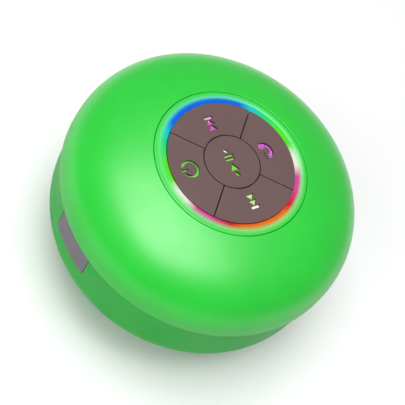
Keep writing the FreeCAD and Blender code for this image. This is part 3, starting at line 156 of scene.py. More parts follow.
# %% Sockets that can be added and multiplied
class Sum:
    """One output socket of a finish, which takes part in Python sums."""

    def __init__(self, finish, socket):
        self.finish = finish
        self.socket = socket

    def math(self, operation, *values):
        """Any Math node, fed by the given values."""
        return self.finish.node("ShaderNodeMath", {"operation": operation}, dict(enumerate(values)))

    def __add__(self, other):
        return self.math("ADD", self, other)

    def __radd__(self, other):
        return self.math("ADD", other, self)

    def __sub__(self, other):
        return self.math("SUBTRACT", self, other)

    def __rsub__(self, other):
        return self.math("SUBTRACT", other, self)

    def __mul__(self, other):
        return self.math("MULTIPLY", self, other)

    def __rmul__(self, other):
        return self.math("MULTIPLY", other, self)

    def __truediv__(self, other):
        return self.math("DIVIDE", self, other)

    def __pow__(self, other):
        return self.math("POWER", self, other)

    def __abs__(self):
        return self.math("ABSOLUTE", self)

    def ramp(self, low, high):
        """0 below low, 1 above high, and smooth between."""
        settings = {"interpolation_type": "SMOOTHSTEP"}
        sockets = {"Value": self, "From Min": low, "From Max": high}
        return self.finish.node("ShaderNodeMapRange", settings, sockets)


print("a Sum understands + - * / ** and abs")

# %% [markdown]
# ## A finish
# A finish is one material: a Principled surface whose fixed numbers are set on its own sockets, and whose
# varying parts are fed by sums. One method adds any other node: its settings first, then its sockets. The
# object's own coordinates are the frame's, in metres, so a grain's scale is simply one over its size.

# %% Finishes
def linear(colour):
    """A colour given as 0 to 255 per channel, as the linear light that shaders use."""
    shares = [channel / 255.0 for channel in colour]
    return tuple(c / 12.92 if c <= 0.04045 else ((c + 0.055) / 1.055) ** 2.4 for c in shares) + (1.0,)


BLACK = (0.0, 0.0, 0.0, 1.0)


class Finish:
    """A material built around one Principled surface."""

    def __init__(self, name, colour, roughness, **fixed):
        self.material = bpy.data.materials.new(name)
        self.material.use_nodes = True
        self.tree = self.material.node_tree
        self.surface = self.tree.nodes["Principled BSDF"]
        self.set("Base Color", linear(colour))
        self.set("Roughness", roughness)
        for socket, value in fixed.items():
            self.set(socket.replace("_", " "), value)

    def set(self, socket, value):
        """Put a value or a link on one of the surface's sockets."""
        self.plug(self.surface.inputs[socket], value)

    def plug(self, target, value):
        """Link a sum to a socket, or put a plain value on it."""
        if isinstance(value, Sum):
            self.tree.links.new(value.socket, target)
        else:
            target.default_value = value

    def node(self, kind, settings=None, sockets=None, output=0):
        """Add a node, make its settings, fill its sockets and return one of its outputs."""
        made = self.tree.nodes.new(kind)
        for name, value in (settings or {}).items():
            if name == "stops":
                self.fill_ramp(made.color_ramp, value)
            else:
                setattr(made, name, value)
        for socket, value in (sockets or {}).items():
            self.plug(made.inputs[socket], value)
        return Sum(self, made.outputs[output])

    def fill_ramp(self, ramp, stops):
        """Give a colour ramp its stops, each a place from 0 to 1 and a colour."""
        while len(ramp.elements) > 1:
            ramp.elements.remove(ramp.elements[-1])
        for index, (place, colour) in enumerate(stops):
            element = ramp.elements[0] if index == 0 else ramp.elements.new(place)
            element.position = place
            element.color = colour

    def place(self):
        """The point on the piece, in the frame's metres."""
        return self.node("ShaderNodeTexCoord", output="Object")

    def axes(self):
        """The point's x, y and z as three sums."""
        split = self.tree.nodes.new("ShaderNodeSeparateXYZ")
        self.tree.links.new(self.place().socket, split.inputs[0])
        return [Sum(self, split.outputs[i]) for i in range(3)]

    def grain(self, size, detail=2.0, rough=0.5, stretch=None):
        """Cloudy noise whose lumps are about size millimetres across, near 0.5 on average."""
        point = self.place()
        if stretch:
            point = self.node("ShaderNodeMapping", {}, {"Vector": point, "Scale": stretch})
        sockets = {"Vector": point, "Scale": 1.0 / (size * MM), "Detail": detail, "Roughness": rough}
        return self.node("ShaderNodeTexNoise", {}, sockets)

    def mix(self, share, first, second):
        """Blend two colours."""
        return self.node("ShaderNodeMix", {"data_type": "RGBA"}, {0: share, 6: first, 7: second}, output=2)

    def bump(self, height, depth):
        """Raise the surface by a height sum, depth being the true relief in millimetres."""
        sockets = {"Height": height, "Distance": depth * MM, "Strength": 1.0}
        self.set("Normal", self.node("ShaderNodeBump", {}, sockets))


print("white is", linear((255, 255, 255)))

# %% [markdown]
# ## Moulded plastic
# The shell is injection moulded in one bright green and left satin. Up close such a surface isn't even: the
# polish of the mould leaves a faint orange peel, fingers leave duller patches, and the rims that touch
# things are rubbed a little paler. A single colour with one roughness would look like a toy render, so each
# of these is a separate grain, and the wear is placed by the piece's own height.

# %% Helpers for moulded plastic
def shift(colour, share):
    """A colour made lighter (above 1) or darker (below 1) in linear light."""
    return tuple(min(1.0, c * share) for c in colour[:3]) + (1.0,)


def moulded(name, colour, roughness, tone=0.05, peel=1.1, depth=0.004, **fixed):
    """Plastic from a mould: slow changes of tone, finger-dulled patches and orange peel."""
    finish = Finish(name, colour, roughness, **fixed)
    cloud = finish.grain(16.0, detail=3.0)
    base = linear(colour)
    finish.tone = finish.mix(cloud.ramp(0.3, 0.7), shift(base, 1 - tone), shift(base, 1 + tone))
    finish.set("Base Color", finish.tone)
    finish.patches = finish.grain(9.0, detail=4.0, rough=0.6).ramp(0.45, 0.75)
    finish.set("Roughness", roughness + 0.10 * finish.patches)
    finish.bump(finish.grain(peel, detail=1.0), depth)
    return finish


def edge_wear(finish, mask, colour, strength=0.35):
    """Rub a paler colour into the finish where the mask is high, broken up by a fine grain."""
    worn = mask * finish.grain(0.9, detail=3.0).ramp(0.35, 0.65) * strength
    finish.tone = finish.mix(worn, finish.tone, linear(colour))
    finish.set("Base Color", finish.tone)


def radius_of(x, y):
    """The distance from the axis."""
    return (x * x + y * y) ** 0.5


print("white made lighter stays", shift(linear((255, 255, 255)), 1.05))

# %% [markdown]
# ## The green shell
# The dome is bright and satin on top. Lower down its wall has less gloss, so the clear coat follows the
# height, and the lower wall is painted a deeper green: painted shade, where it turns away from the light.
# The rim at the crease and the band's rear rim are the places that get rubbed, so the wear sits there.

# %% Dome and band
SHELL = (2, 194, 40)
SATIN = {"tone": 0.03, "Specular_IOR_Level": 0.6, "Coat_Weight": 1.0, "Coat_Roughness": 0.34}
RIM_WIDTH = 0.5 * MM
PAINTED_SHADE_LOW, PAINTED_SHADE_HIGH = 38.0 * MM, 45.0 * MM
GLOSS_LOW, GLOSS_HIGH = 41.0 * MM, 50.0 * MM
REAR_RIM = 14.5 * MM
shell_green = moulded("shell_green", SHELL, 0.44, **SATIN)
x, y, z = shell_green.axes()
lower_rim = 1.0 - (z - CREASE).ramp(0.0, RIM_WIDTH)
edge_wear(shell_green, lower_rim, (150, 236, 156))
# Painted shade: the lower wall is mixed toward a darker green, for the shade where it turns from the light.
painted_shade = 1.0 - z.ramp(PAINTED_SHADE_LOW, PAINTED_SHADE_HIGH)
shell_green.tone = shell_green.mix(painted_shade * 0.5, shell_green.tone, linear((0, 160, 34)))
shell_green.set("Base Color", shell_green.tone)
shell_green.set("Coat Weight", 0.05 + 0.95 * z.ramp(GLOSS_LOW, GLOSS_HIGH))
print("shell green in linear light:", [round(c, 3) for c in linear(SHELL)])

# Painted shade: the band is a darker copy of the shell's green, for the shade it sits in under the dome.
band_green = moulded("band_green", (2, 160, 42), 0.5, tone=0.04, Specular_IOR_Level=0.3)
x, y, z = band_green.axes()
rear_rim = 1.0 - abs(z - REAR_RIM).ramp(0.2 * MM, 1.5 * MM)
edge_wear(band_green, rear_rim, (120, 224, 130), strength=0.2)

# %% [markdown]
# ## The light guide
# A clear moulding carries the light of twelve small lamps up to a narrow ring around the keys. The lamps
# shine in eight colours and the guide blends them, so the colour depends only on the angle around the axis,
# and both halves of the ring run through the same row. The ring could be a painted texture, but a colour
# ramp fed by the angle gives the same blend at any size and needs no file.

# %% The rainbow ring
BLUE, CYAN, GREEN, LIME = (0, 110, 245), (0, 210, 225), (20, 230, 120), (90, 240, 20)
WHITE, PINK, RED, ORANGE = (245, 250, 230), (230, 80, 165), (220, 30, 30), (245, 115, 20)
# Each stop is an angle in degrees from +X and the colour there.
LAMP_ROW = [
    (0, BLUE), (35, BLUE), (45, CYAN), (60, GREEN), (75, LIME), (90, LIME), (100, WHITE),
    (110, WHITE), (120, PINK), (130, PINK), (150, RED), (160, ORANGE), (180, ORANGE),
]
GLOW = (100, 240, 140)
# The guide's outer radius, the width of its lit lip and the width over which the lip fades in.
GUIDE_OUT = 20.05
LIP, LIP_FADE = 0.75 * MM, 0.7 * MM


def lamp_light(finish):
    """The lamps' blended colour: a ramp over the angle from +X in degrees, the same on both sides."""
    x, y, z = finish.axes()
    share = abs(y.math("ARCTAN2", y, x)) / math.pi
    stops = [(degrees / 180.0, linear(colour)) for degrees, colour in LAMP_ROW]
    return finish.node("ShaderNodeValToRGB", {"stops": stops}, {0: share})


def lamp_halo(finish):
    """What leaks past the guide's edge: mostly the green glow of the lit lip, with a share of the lamps."""
    return finish.mix(0.3, linear(GLOW), lamp_light(finish))


light_guide = Finish("light_guide", (10, 10, 12), 0.35, Emission_Strength=0.86, Specular_IOR_Level=0.12)
haze = light_guide.grain(0.6, detail=2.0)
x, y, z = light_guide.axes()
fade = (radius_of(x, y) - (GUIDE_OUT * MM - LIP)).ramp(0.0, LIP_FADE)
halo = lamp_halo(light_guide)
core = light_guide.mix(haze.ramp(0.3, 0.8) * 0.10, lamp_light(light_guide), BLACK)
light_guide.set("Emission Color", light_guide.mix(fade * 0.65, core, halo))
light_guide.set("Base Color", light_guide.mix(0.06, linear((6, 6, 8)), core))
light_guide.set("Roughness", 0.32 + 0.12 * haze)
light_guide.bump(haze, 0.003)
print("colour stops along half of the ring:", len(LAMP_ROW))

# %% [markdown]
# ## The green bezel
# The bezel around the light guide is the same green as the shell, and the guide's light leaks onto it. The
# spill is painted light that falls off within about two millimetres of the ring: it is an emission, and a
# dimmed copy of it is also mixed into the moulded finish's base colour.

# %% The bezel's spill of light
SPILL_REACH = 1.6
bezel_green = moulded("bezel_green", SHELL, 0.44, Emission_Strength=0.38, **SATIN)
x, y, z = bezel_green.axes()
spill = 1.0 - (radius_of(x, y) - GUIDE_OUT * MM).ramp(-0.1 * MM, SPILL_REACH * MM)
halo = lamp_halo(bezel_green)
dim_halo = bezel_green.mix(0.5, BLACK, halo)
bezel_green.set("Emission Color", bezel_green.mix(spill, BLACK, halo))
# Painted light: the spill also tints the base colour toward a dimmed copy of the ring's glow.
bezel_green.set("Base Color", bezel_green.mix(spill, bezel_green.tone, dim_halo))
print("the spill reaches %.2f mm from the axis" % (GUIDE_OUT + SPILL_REACH))

# %% [markdown]
# ## The keys
# The five keys are matt taupe, moulded from a spark-eroded tool whose fine even grain hides fingerprints.
# Their rounded rims are polished by use. The grain is a tenth of a millimetre across, so it reads as a dull
# surface from afar and only shows as texture close up. Below the face the caps are painted near black:
# painted shade on the walls of the gaps and of the symbols' cut-outs, for the shade inside these recesses.

# %% The taupe keys
KEY = (98, 77, 76)
# Heights below the key face: the rim's foot and crown, and where the painted recess shade is full and ends.
RIM_FOOT, RIM_CROWN = 0.17 * MM, 0.03 * MM
RECESS_SHADE_FULL, RECESS_SHADE_ENDS = 0.42 * MM, 0.24 * MM
key_taupe = moulded("key_taupe", KEY, 0.52, tone=0.04, peel=0.16, depth=0.006, Specular_IOR_Level=0.3)
x, y, z = key_taupe.axes()
polished = 1.0 - z.ramp(TOP - RIM_FOOT, TOP - RIM_CROWN)
edge_wear(key_taupe, polished, (142, 122, 118), strength=0.6)
# Painted shade: below the face, the walls of the gaps and cut-outs are mixed toward near black.
painted_recess_shade = 1.0 - z.ramp(TOP - RECESS_SHADE_FULL, TOP - RECESS_SHADE_ENDS)
key_taupe.tone = key_taupe.mix(painted_recess_shade, key_taupe.tone, linear((20, 16, 17)))
key_taupe.set("Base Color", key_taupe.tone)
key_taupe.set("Roughness", 0.52 + 0.12 * key_taupe.patches - 0.16 * polished)
# Prints the depth at which the painted recess shade is full.
print("the keys' painted recess shade is full %.2f mm below their face" % (RECESS_SHADE_FULL / MM))

# %% [markdown]
# ## The lit symbols
# The symbols are clear tinted islands under the keys' cut-outs, lit from below. Their colour comes from the
# lamps: magenta for skip and call, green for play and power, and nearly white where a lamp is close. A slow
# grain moves each symbol between two tints, a second one paints in pale glints as painted highlights, and
# the emission keeps them bright inside their dark recesses. Some symbols change colour along X: the skip
# symbols at their outer end, and the middle one at its two bars and again at the leaf beyond them.

# %% Helpers for the symbols
# How far below the key face the glow begins, and where it is full.
GLOW_FOOT, GLOW_FULL = 2.0 * MM, 1.0 * MM


def light_up(finish):
    """Glow above the cap's underside; below it, and at the foot of the island's walls, stay dark."""
    x, y, z = finish.axes()
    above = z.ramp(TOP - GLOW_FOOT, TOP - GLOW_FULL)
    glow = finish.mix(above, BLACK, finish.tint)
    finish.set("Emission Color", glow)
    finish.set("Base Color", finish.mix(0.7, glow, linear((14, 12, 13))))


def lit(name, colours, glint, strength=0.72):
    """A glowing tinted plastic that runs between two colours, with pale glints painted in as highlights."""
    finish = Finish(name, colours[0], 0.2, Emission_Strength=strength, IOR=1.49)
    cloud = finish.grain(1.8, detail=1.0).ramp(0.4, 0.6)
    tint = finish.mix(cloud, linear(colours[0]), linear(colours[1]))
    # Painted highlight: a fine grain mixes pale glints into the glowing tint.
    spark = finish.grain(0.55, detail=2.0).ramp(0.58, 0.70)
    finish.tint = finish.mix(spark * 0.6, tint, linear(glint))
    light_up(finish)
    finish.set("Roughness", 0.15 + 0.2 * spark)
    finish.bump(finish.grain(0.5, detail=1.0), 0.02)
    return finish


def tint_part(finish, mask, colour):
    """Give part of a symbol another colour."""
    finish.tint = finish.mix(mask, finish.tint, linear(colour))
    light_up(finish)


print("the symbols glow from %.1f mm below the key face" % (GLOW_FOOT / MM))

# %% Five symbols
# Where along X a symbol changes colour: the millimetres over which one tint turns into the next.
OUTER_END = (13.0 * MM, 13.4 * MM)
BARS = (0.1 * MM, 0.3 * MM)
LEAF = (2.4 * MM, 2.6 * MM)

symbol_next = lit("symbol_next", [(222, 84, 208), (196, 88, 186)], (246, 190, 240))
x, y, z = symbol_next.axes()
tint_part(symbol_next, x.ramp(*OUTER_END), (240, 178, 232))

symbol_call = lit("symbol_call", [(216, 92, 205), (180, 84, 176)], (240, 200, 238))

symbol_previous = lit("symbol_previous", [(206, 240, 158), (178, 226, 128)], (240, 252, 226))
x, y, z = symbol_previous.axes()
tint_part(symbol_previous, (-1.0 * x).ramp(*OUTER_END), (244, 250, 236))

symbol_power = lit("symbol_power", [(96, 212, 60), (130, 190, 96)], (206, 226, 170))

symbol_centre = lit("symbol_centre", [(118, 222, 46), (134, 208, 74)], (196, 240, 140))
x, y, z = symbol_centre.axes()
tint_part(symbol_centre, x.ramp(*BARS), (150, 214, 96))
tint_part(symbol_centre, x.ramp(*LEAF), (228, 246, 216))
print("five symbols lit; the middle one changes at x = %.1f and %.1f mm" % (BARS[0] / MM, LEAF[0] / MM))

# %% [markdown]
# ## Rubber
# The port flap, the seals and the suction cup are soft rubbers. Rubber is duller than plastic, its surface
# copies a fine blasted mould, and dust and skin oil make it cloudy in patches. The flap is a warm grey, and
# the cup a milky, slightly see-through grey vinyl.

# %% Rubber finishes
def rubber(name, colour, roughness, dust=(170, 168, 166), dusty=0.12, **fixed):
    """Matt rubber with a blasted skin and a thin, patchy bloom of dust."""
    finish = moulded(name, colour, roughness, tone=0.07, peel=0.22, depth=0.008, **fixed)
    bloom = finish.grain(5.0, detail=5.0, rough=0.65).ramp(0.5, 0.8) * dusty
    finish.tone = finish.mix(bloom, finish.tone, linear(dust))
    finish.set("Base Color", finish.tone)
    return finish


flap_rubber = rubber("flap_rubber", (104, 99, 106), 0.55)
seal_rubber = rubber("seal_rubber", (34, 34, 37), 0.6)
cup_rubber = rubber("cup_rubber", (196, 200, 202), 0.3, dusty=0.1, Subsurface_Weight=0.35,
                    Subsurface_Scale=0.002, Coat_Weight=0.25, Coat_Roughness=0.15)
silicone_clear = rubber("silicone_clear", (205, 205, 198), 0.4, Subsurface_Weight=0.2, Subsurface_Scale=0.001)
print("rubbers made")

# %% [markdown]
# ## The works inside
# Most of these pieces are only seen through the sound slots, in the open port, or when the shell is taken
# off, but each still has its own stuff: moulded black and white plastics, solder-masked boards, plated and
# painted metals, sintered ferrite, foil, foam, woven cloth and pressed paper. They share three recipes:
# moulded stuff, metal and woven cloth.

# %% Plastics inside
black_plastic = moulded("black_plastic", (30, 30, 33), 0.45, tone=0.12, peel=0.3, depth=0.006)
white_plastic = moulded("white_plastic", (222, 219, 210), 0.42, tone=0.04, peel=0.3, depth=0.004)
led_white = moulded("led_white", (238, 236, 222), 0.3, tone=0.03, peel=0.3, depth=0.003)
lead_sleeve = moulded("lead_sleeve", (150, 26, 28), 0.4, tone=0.08, peel=0.4, depth=0.004)
cell_foil = moulded("cell_foil", (186, 190, 196), 0.32, tone=0.06, peel=2.0, depth=0.06, Metallic=0.85)
foam_tape = moulded("foam_tape", (44, 44, 46), 0.9, tone=0.15, peel=0.25, depth=0.05)
ferrite = moulded("ferrite", (48, 47, 50), 0.62, tone=0.15, peel=0.35, depth=0.03)
print("plastics, foil, foam and ferrite made")

# %% [markdown]
# ## The circuit boards
# A board is glass fibre under green solder mask, and its copper tracks show through as paler, slightly
# raised lines. Real tracks turn corners, which lines in one direction can't do, so a coarse noise with hard
# borders cuts the board into blocks, and neighbouring blocks run their lines along X or along Y.

# %% Boards inside
def strands(along, pitch, width):
    """Parallel lines of a given pitch and width in millimetres, as a 0 to 1 mask."""
    wave = along.math("FRACT", along / (pitch * MM))
    return 1.0 - abs(wave - 0.5).ramp(width / pitch / 2.0, width / pitch / 2.0 + 0.08)


TRACK_PITCH, TRACK_WIDTH = 1.0, 0.35
board_green = moulded("board_green", (20, 92, 52), 0.35, tone=0.08, peel=0.5, depth=0.003)
x, y, z = board_green.axes()
blocks = board_green.grain(7.0, detail=0.0).ramp(0.49, 0.51)
along_x = strands(x, TRACK_PITCH, TRACK_WIDTH) * blocks
along_y = strands(y, TRACK_PITCH, TRACK_WIDTH) * (1.0 - blocks)
tracks = along_x + along_y
board_green.set("Base Color", board_green.mix(tracks * 0.5, board_green.tone, linear((44, 134, 74))))
board_green.bump(tracks, 0.03)
print("boards have %d tracks per centimetre" % (10 / TRACK_PITCH))

# %% [markdown]
# ## Metals
# The frame, yoke, shields and screws are steel, plated or painted, and the coil is enamelled copper wire.
# Metal needs less colour than plastic and more change in its shine: cloudy tarnish moves both, and drawn
# sheet also has fine lines along one axis, which is the same grain pulled long.

# %% Metals inside
def metal(name, colour, roughness, brushed=None, tone=0.1, depth=0.003):
    """Bare or plated metal with cloudy tarnish and, if asked, fine lines along one axis."""
    finish = Finish(name, colour, roughness, Metallic=1.0)
    base = linear(colour)
    cloud = finish.grain(4.0, detail=4.0, rough=0.6)
    finish.tone = finish.mix(cloud.ramp(0.35, 0.7), shift(base, 1 - tone), shift(base, 1 + tone))
    finish.set("Base Color", finish.tone)
    lines = finish.grain(0.12, detail=2.0, stretch=brushed)
    finish.set("Roughness", roughness + 0.18 * lines * cloud)
    finish.bump(lines, depth)
    return finish


tinned_steel = metal("tinned_steel", (198, 198, 192), 0.28, brushed=(1.0, 0.06, 1.0))
screw_steel = metal("screw_steel", (168, 170, 172), 0.3)
frame_steel = metal("frame_steel", (104, 106, 110), 0.42)
yoke_steel = metal("yoke_steel", (150, 152, 158), 0.35, brushed=(0.08, 1.0, 1.0))
copper_coil = metal("copper_coil", (196, 108, 62), 0.3)
WIRE_PITCH, WIRE_WIDTH = 0.18, 0.12
x, y, z = copper_coil.axes()
copper_coil.bump(strands(z, WIRE_PITCH, WIRE_WIDTH), 0.03)
print("metals made; the coil has %.1f turns per millimetre" % (1 / WIRE_PITCH))

# %% [markdown]
# ## Cloth and paper
# The acoustic mesh behind the sound slots is a water-shedding woven cloth, and the spider is a coarser,
# resin-dipped one. A weave is two sets of strands that take turns on top, which is the product of two
# waves. The cone is pressed paper pulp, so it has fibres instead: noise pulled long in one direction.

# %% Cloth and paper finishes
def woven(name, colour, pitch, depth):
    """Plain weave: two crossed sets of threads, one over the other by turns."""
    finish = Finish(name, colour, 0.8)
    x, y, z = finish.axes()
    turn = math.pi / (pitch * MM)
    over = x.math("SINE", x * turn) * y.math("SINE", y * turn)
    base = linear(colour)
    finish.set("Base Color", finish.mix(over.ramp(-1.0, 1.0), shift(base, 0.45), shift(base, 1.5)))
    fuzz = finish.grain(0.1, detail=2.0)
    finish.set("Roughness", 0.75 + 0.2 * fuzz)
    finish.bump(over * 0.5 + 0.2 * fuzz, depth)
    return finish


mesh_cloth = woven("mesh_cloth", (38, 38, 40), 0.35, 0.08)
spider_cloth = woven("spider_cloth", (176, 138, 70), 0.5, 0.08)
cone_paper = moulded("cone_paper", (50, 48, 47), 0.75, tone=0.12, peel=0.2, depth=0.02)
fibres = cone_paper.grain(0.3, detail=4.0, rough=0.7, stretch=(1.0, 0.15, 1.0))
pale_fibres = fibres.ramp(0.5, 0.7) * 0.4
cone_paper.set("Base Color", cone_paper.mix(pale_fibres, cone_paper.tone, linear((96, 92, 88))))
print("cloth and paper made")

# %% [markdown]
# ## Giving each piece its finish
# The record says which slot each piece belongs to. Pieces whose shape is right stay as the frame has them
# and only swap their one plain material for a finish. The five symbols and the bezel have finishes of their
# own, so they are named one by one.

# %% Finishes onto the frame's pieces
SLOT_FINISH = {
    "shell_green": shell_green, "band_green": band_green, "light_guide": light_guide, "key_taupe": key_taupe,
    "symbol_magenta": symbol_next, "symbol_green": symbol_centre, "black_plastic": black_plastic,
    "white_plastic": white_plastic, "led_white": led_white, "silicone_clear": silicone_clear,
    "seal_rubber": seal_rubber, "flap_rubber": flap_rubber, "cup_rubber": cup_rubber,
    "board_green": board_green, "tinned_steel": tinned_steel, "screw_steel": screw_steel,
    "frame_steel": frame_steel, "yoke_steel": yoke_steel, "ferrite": ferrite, "cell_foil": cell_foil,
    "foam_tape": foam_tape, "lead_sleeve": lead_sleeve, "cone_paper": cone_paper,
    "copper_coil": copper_coil, "spider_cloth": spider_cloth, "mesh_cloth": mesh_cloth,
}
OWN_FINISH = {
    "control_bezel": bezel_green, "key_symbol_next": symbol_next, "key_symbol_call": symbol_call,
    "key_symbol_previous": symbol_previous, "key_symbol_power": symbol_power,
    "key_symbol_centre": symbol_centre,
}
for part in frame["record"]["subparts"]:
    finish = OWN_FINISH.get(part["node"], SLOT_FINISH[part["material_slot"]])
    NODES[part["node"]].material_slots[0].material = finish.material

# %% [markdown]
# ## Turned pieces
# The dome, the bezel, the light guide and the cup are round, so each is a section turned about the axis.
# Every edge of a moulded part has a small radius, and that radius is what catches the light, so the
# section's corners are rounded before it is turned. A Screw modifier would also turn a section, but bmesh
# lets the ends meet cleanly on the axis and lets several solids share one mesh.

# %% Rounded sections
def rounded_section(corners, steps=4):
    """A closed section whose corners become arcs. Each corner is (r, z, radius) in millimetres."""
    points = []
    for i, (r, z, radius) in enumerate(corners):
        here = Vector((r, z))
        if radius == 0.0:
            points.append(here)
            continue
        before = (Vector(corners[i - 1][:2]) - here).normalized()
        after = (Vector(corners[(i + 1) % len(corners)][:2]) - here).normalized()
        half = before.angle(after) / 2
        middle = here + (before + after).normalized() * (radius / math.sin(half))
        first = here + before * (radius / math.tan(half)) - middle
        last = here + after * (radius / math.tan(half)) - middle
        swing = first.angle(last)
        for k in range(steps + 1):
            share = k / steps
            part = first * math.sin((1 - share) * swing) + last * math.sin(share * swing)
            points.append(middle + part / math.sin(swing))
    return points


square = rounded_section([(1, 1, 0.2), (2, 1, 0.2), (2, 2, 0.2), (1, 2, 0.2)])
print("a square with rounded corners has", len(square), "points")


# %% Turned meshes
ON_AXIS = 1e-6


def turned(r, z, angle):
    """The point in metres at a radius and height in millimetres, turned about Z."""
    return (r * math.cos(angle) * MM, r * math.sin(angle) * MM, z * MM)


def turn_section(mesh, section, steps=256, first=0.0, last=360.0):
    """Add a section turned about Z to a bmesh, all the way round or from one angle to another."""
    whole = last - first >= 360.0
    count = steps if whole else steps + 1
    angles = [math.radians(first + (last - first) * k / steps) for k in range(count)]
    rings = []
    for r, z in section:
        if r < ON_AXIS:
            rings.append([mesh.verts.new((0.0, 0.0, z * MM))])
        else:
            rings.append([mesh.verts.new(turned(r, z, a)) for a in angles])
    for ring, other in zip(rings, rings[1:] + rings[:1]):
        for k in range(steps):
            n = (k + 1) % count
            corners = [ring[k % len(ring)], ring[n % len(ring)], other[n % len(other)], other[k % len(other)]]
            corners = list(dict.fromkeys(corners))
            if len(corners) > 2:
                mesh.faces.new(corners)
    if not whole:
        mesh.faces.new([ring[0] for ring in rings])
        mesh.faces.new([ring[-1] for ring in rings])


def make_piece(name, mesh, finish, sharp=40.0):
    """Turn a bmesh into a smooth-shaded object with one finish."""
    bmesh.ops.recalc_face_normals(mesh, faces=mesh.faces)
    data = bpy.data.meshes.new(name)
    mesh.to_mesh(data)
    mesh.free()
    data.polygons.foreach_set("use_smooth", [True] * len(data.polygons))
    data.set_sharp_from_angle(angle=math.radians(sharp))
    data.materials.append(finish.material)
    made = bpy.data.objects.new(name, data)
    bpy.context.scene.collection.objects.link(made)
    print(name, "has", len(data.polygons), "faces")
    return made


print("10 mm out and a quarter round lies at", [round(c, 4) for c in turned(10.0, 0.0, math.pi / 2)])

# %% [markdown]
# ## The dome
# The dome's profile is one smooth curve from the crease over the shoulder to the crown, a superellipse, so
# the highlight slides over it without a break. Its lower lip and the opening for the bezel are rounded. The
# inner face is the same curve with the wall taken off. The screw bosses and board standoffs hang from the
# inner face: their tops follow the middle of the wall, so they merge with it.

# %% The dome's curve
# Sizes in millimetres. At the waist's height the curve stands upright, at the full radius.
WAIST = 34.27
OPENING = 22.14
CROWN_POWER, SHOULDER_POWER = 2.21, 3.7
WALL = 2.0
RADIUS = 43.0
HEIGHT = TOP / MM
CREASE_MM = CREASE / MM
CROWN_RISE = (HEIGHT - WAIST) / (1.0 - (OPENING / RADIUS) ** CROWN_POWER) ** (1.0 / SHOULDER_POWER)


def dome_height(r, inset=0.0):
    """The curve's height in millimetres at a radius, inset by part of the wall."""
    share = 1.0 - (r / (RADIUS - inset)) ** CROWN_POWER
    return WAIST + (CROWN_RISE - inset) * share ** (1.0 / SHOULDER_POWER)


def dome_radius(z, inset=0.0):
    """The curve's radius in millimetres at a height."""
    share = 1.0 - ((z - WAIST) / (CROWN_RISE - inset)) ** SHOULDER_POWER
    return (RADIUS - inset) * share ** (1.0 / CROWN_POWER)


def dome_line(start, end, inset=0.0, count=72):
    """Corners along the curve between two radii, closer together at the wall where it is steep."""
    corners = []
    for k in range(count + 1):
        share = math.sin(math.pi / 2 * k / count)
        r = start + (end - start) * (1.0 - math.sqrt(1.0 - share * share))
        corners.append((r, dome_height(r, inset), 0.0))
    return corners


print("the curve peaks %.2f mm above the waist" % CROWN_RISE)

# %% [markdown]
# ## The dome's shell
# The section goes up the outside, over the crown to the opening, down to the ledge that carries the bezel,
# and back along the inner face. It is turned once, which closes the shell.

# %% The dome
LEDGE_TOP, LEDGE_LOW = HEIGHT - 3.0, HEIGHT - 4.2
LEDGE_IN, LEDGE_OUT = 20.6, 24.0
lip_out, lip_in = dome_radius(CREASE_MM + 0.35), dome_radius(CREASE_MM + 0.2, WALL)
outer_line = dome_line(lip_out, OPENING + 0.22)
inner_line = dome_line(lip_in, LEDGE_OUT, WALL)
section = rounded_section(
    [(dome_radius(CREASE_MM) - 0.02, CREASE_MM, 0.22)] + outer_line
    + [(OPENING, HEIGHT, 0.16), (OPENING, LEDGE_TOP, 0.1), (LEDGE_IN, LEDGE_TOP, 0.1)]
    + [(LEDGE_IN, LEDGE_LOW, 0.1), (LEDGE_OUT, LEDGE_LOW, 0.0)] + inner_line[::-1]
    + [(dome_radius(CREASE_MM, WALL), CREASE_MM, 0.15)]
)
dome_mesh = bmesh.new()
turn_section(dome_mesh, section)
print("the dome's section has", len(section), "points")

# %% [markdown]
# ## Bosses and standoffs
# Four screw bosses join the dome to the rear shell, and four thinner standoffs hold the main board. Each is
# a round post with a pilot bore that hangs from the wall, so its top ring takes the wall's own height.

# %% Bosses and standoffs
BOSS_CIRCLE, STANDOFF_CIRCLE = 31.5, 25.2
EASE = 0.3


def hanging_post(mesh, x, y, radius, bore, depth, foot, steps=28):
    """A round boss from the dome's wall down to its foot, with a pilot bore and eased edges."""
    levels = [
        (bore, foot + depth), (bore, foot + EASE), (bore + 0.25, foot),
        (radius - EASE, foot), (radius, foot + EASE), (radius, None),
    ]
    rings = []
    for r, z in levels:
        ring = []
        for k in range(steps):
            a = 2 * math.pi * k / steps
            px, py = x + r * math.cos(a), y + r * math.sin(a)
            top = dome_height(math.hypot(px, py), WALL / 2)
            ring.append(mesh.verts.new((px * MM, py * MM, (top if z is None else z) * MM)))
        rings.append(ring)
    for ring, other in zip(rings, rings[1:]):
        for k in range(steps):
            n = (k + 1) % steps
            mesh.faces.new((ring[k], ring[n], other[n], other[k]))
    mesh.faces.new(rings[0])
    mesh.faces.new(rings[-1])


for quarter in range(4):
    a = math.radians(45 + 90 * quarter)
    px, py = BOSS_CIRCLE * math.cos(a), BOSS_CIRCLE * math.sin(a)
    hanging_post(dome_mesh, px, py, radius=3.0, bore=1.02, depth=8.0, foot=27.0)
    a = math.radians(90 * quarter)
    px, py = STANDOFF_CIRCLE * math.cos(a), STANDOFF_CIRCLE * math.sin(a)
    hanging_post(dome_mesh, px, py, radius=1.7, bore=0.92, depth=3.2, foot=47.7)
dome = make_piece("dome_skin", dome_mesh, shell_green)
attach(dome, "housing")
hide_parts("front_shell")

# %% [markdown]
# ## The bezel and the light guide
# The bezel stands on the ledge in the dome's opening, with a seam of about a tenth of a millimetre, and its
# rounded shoulder turns that seam into the fine dark line around the keys. The light guide stands proud of
# nothing: its top is a low arch between the bezel and the keys, so the light seems to well up from the gap.
# A foot that reaches under the ledge keeps the guide in its place.

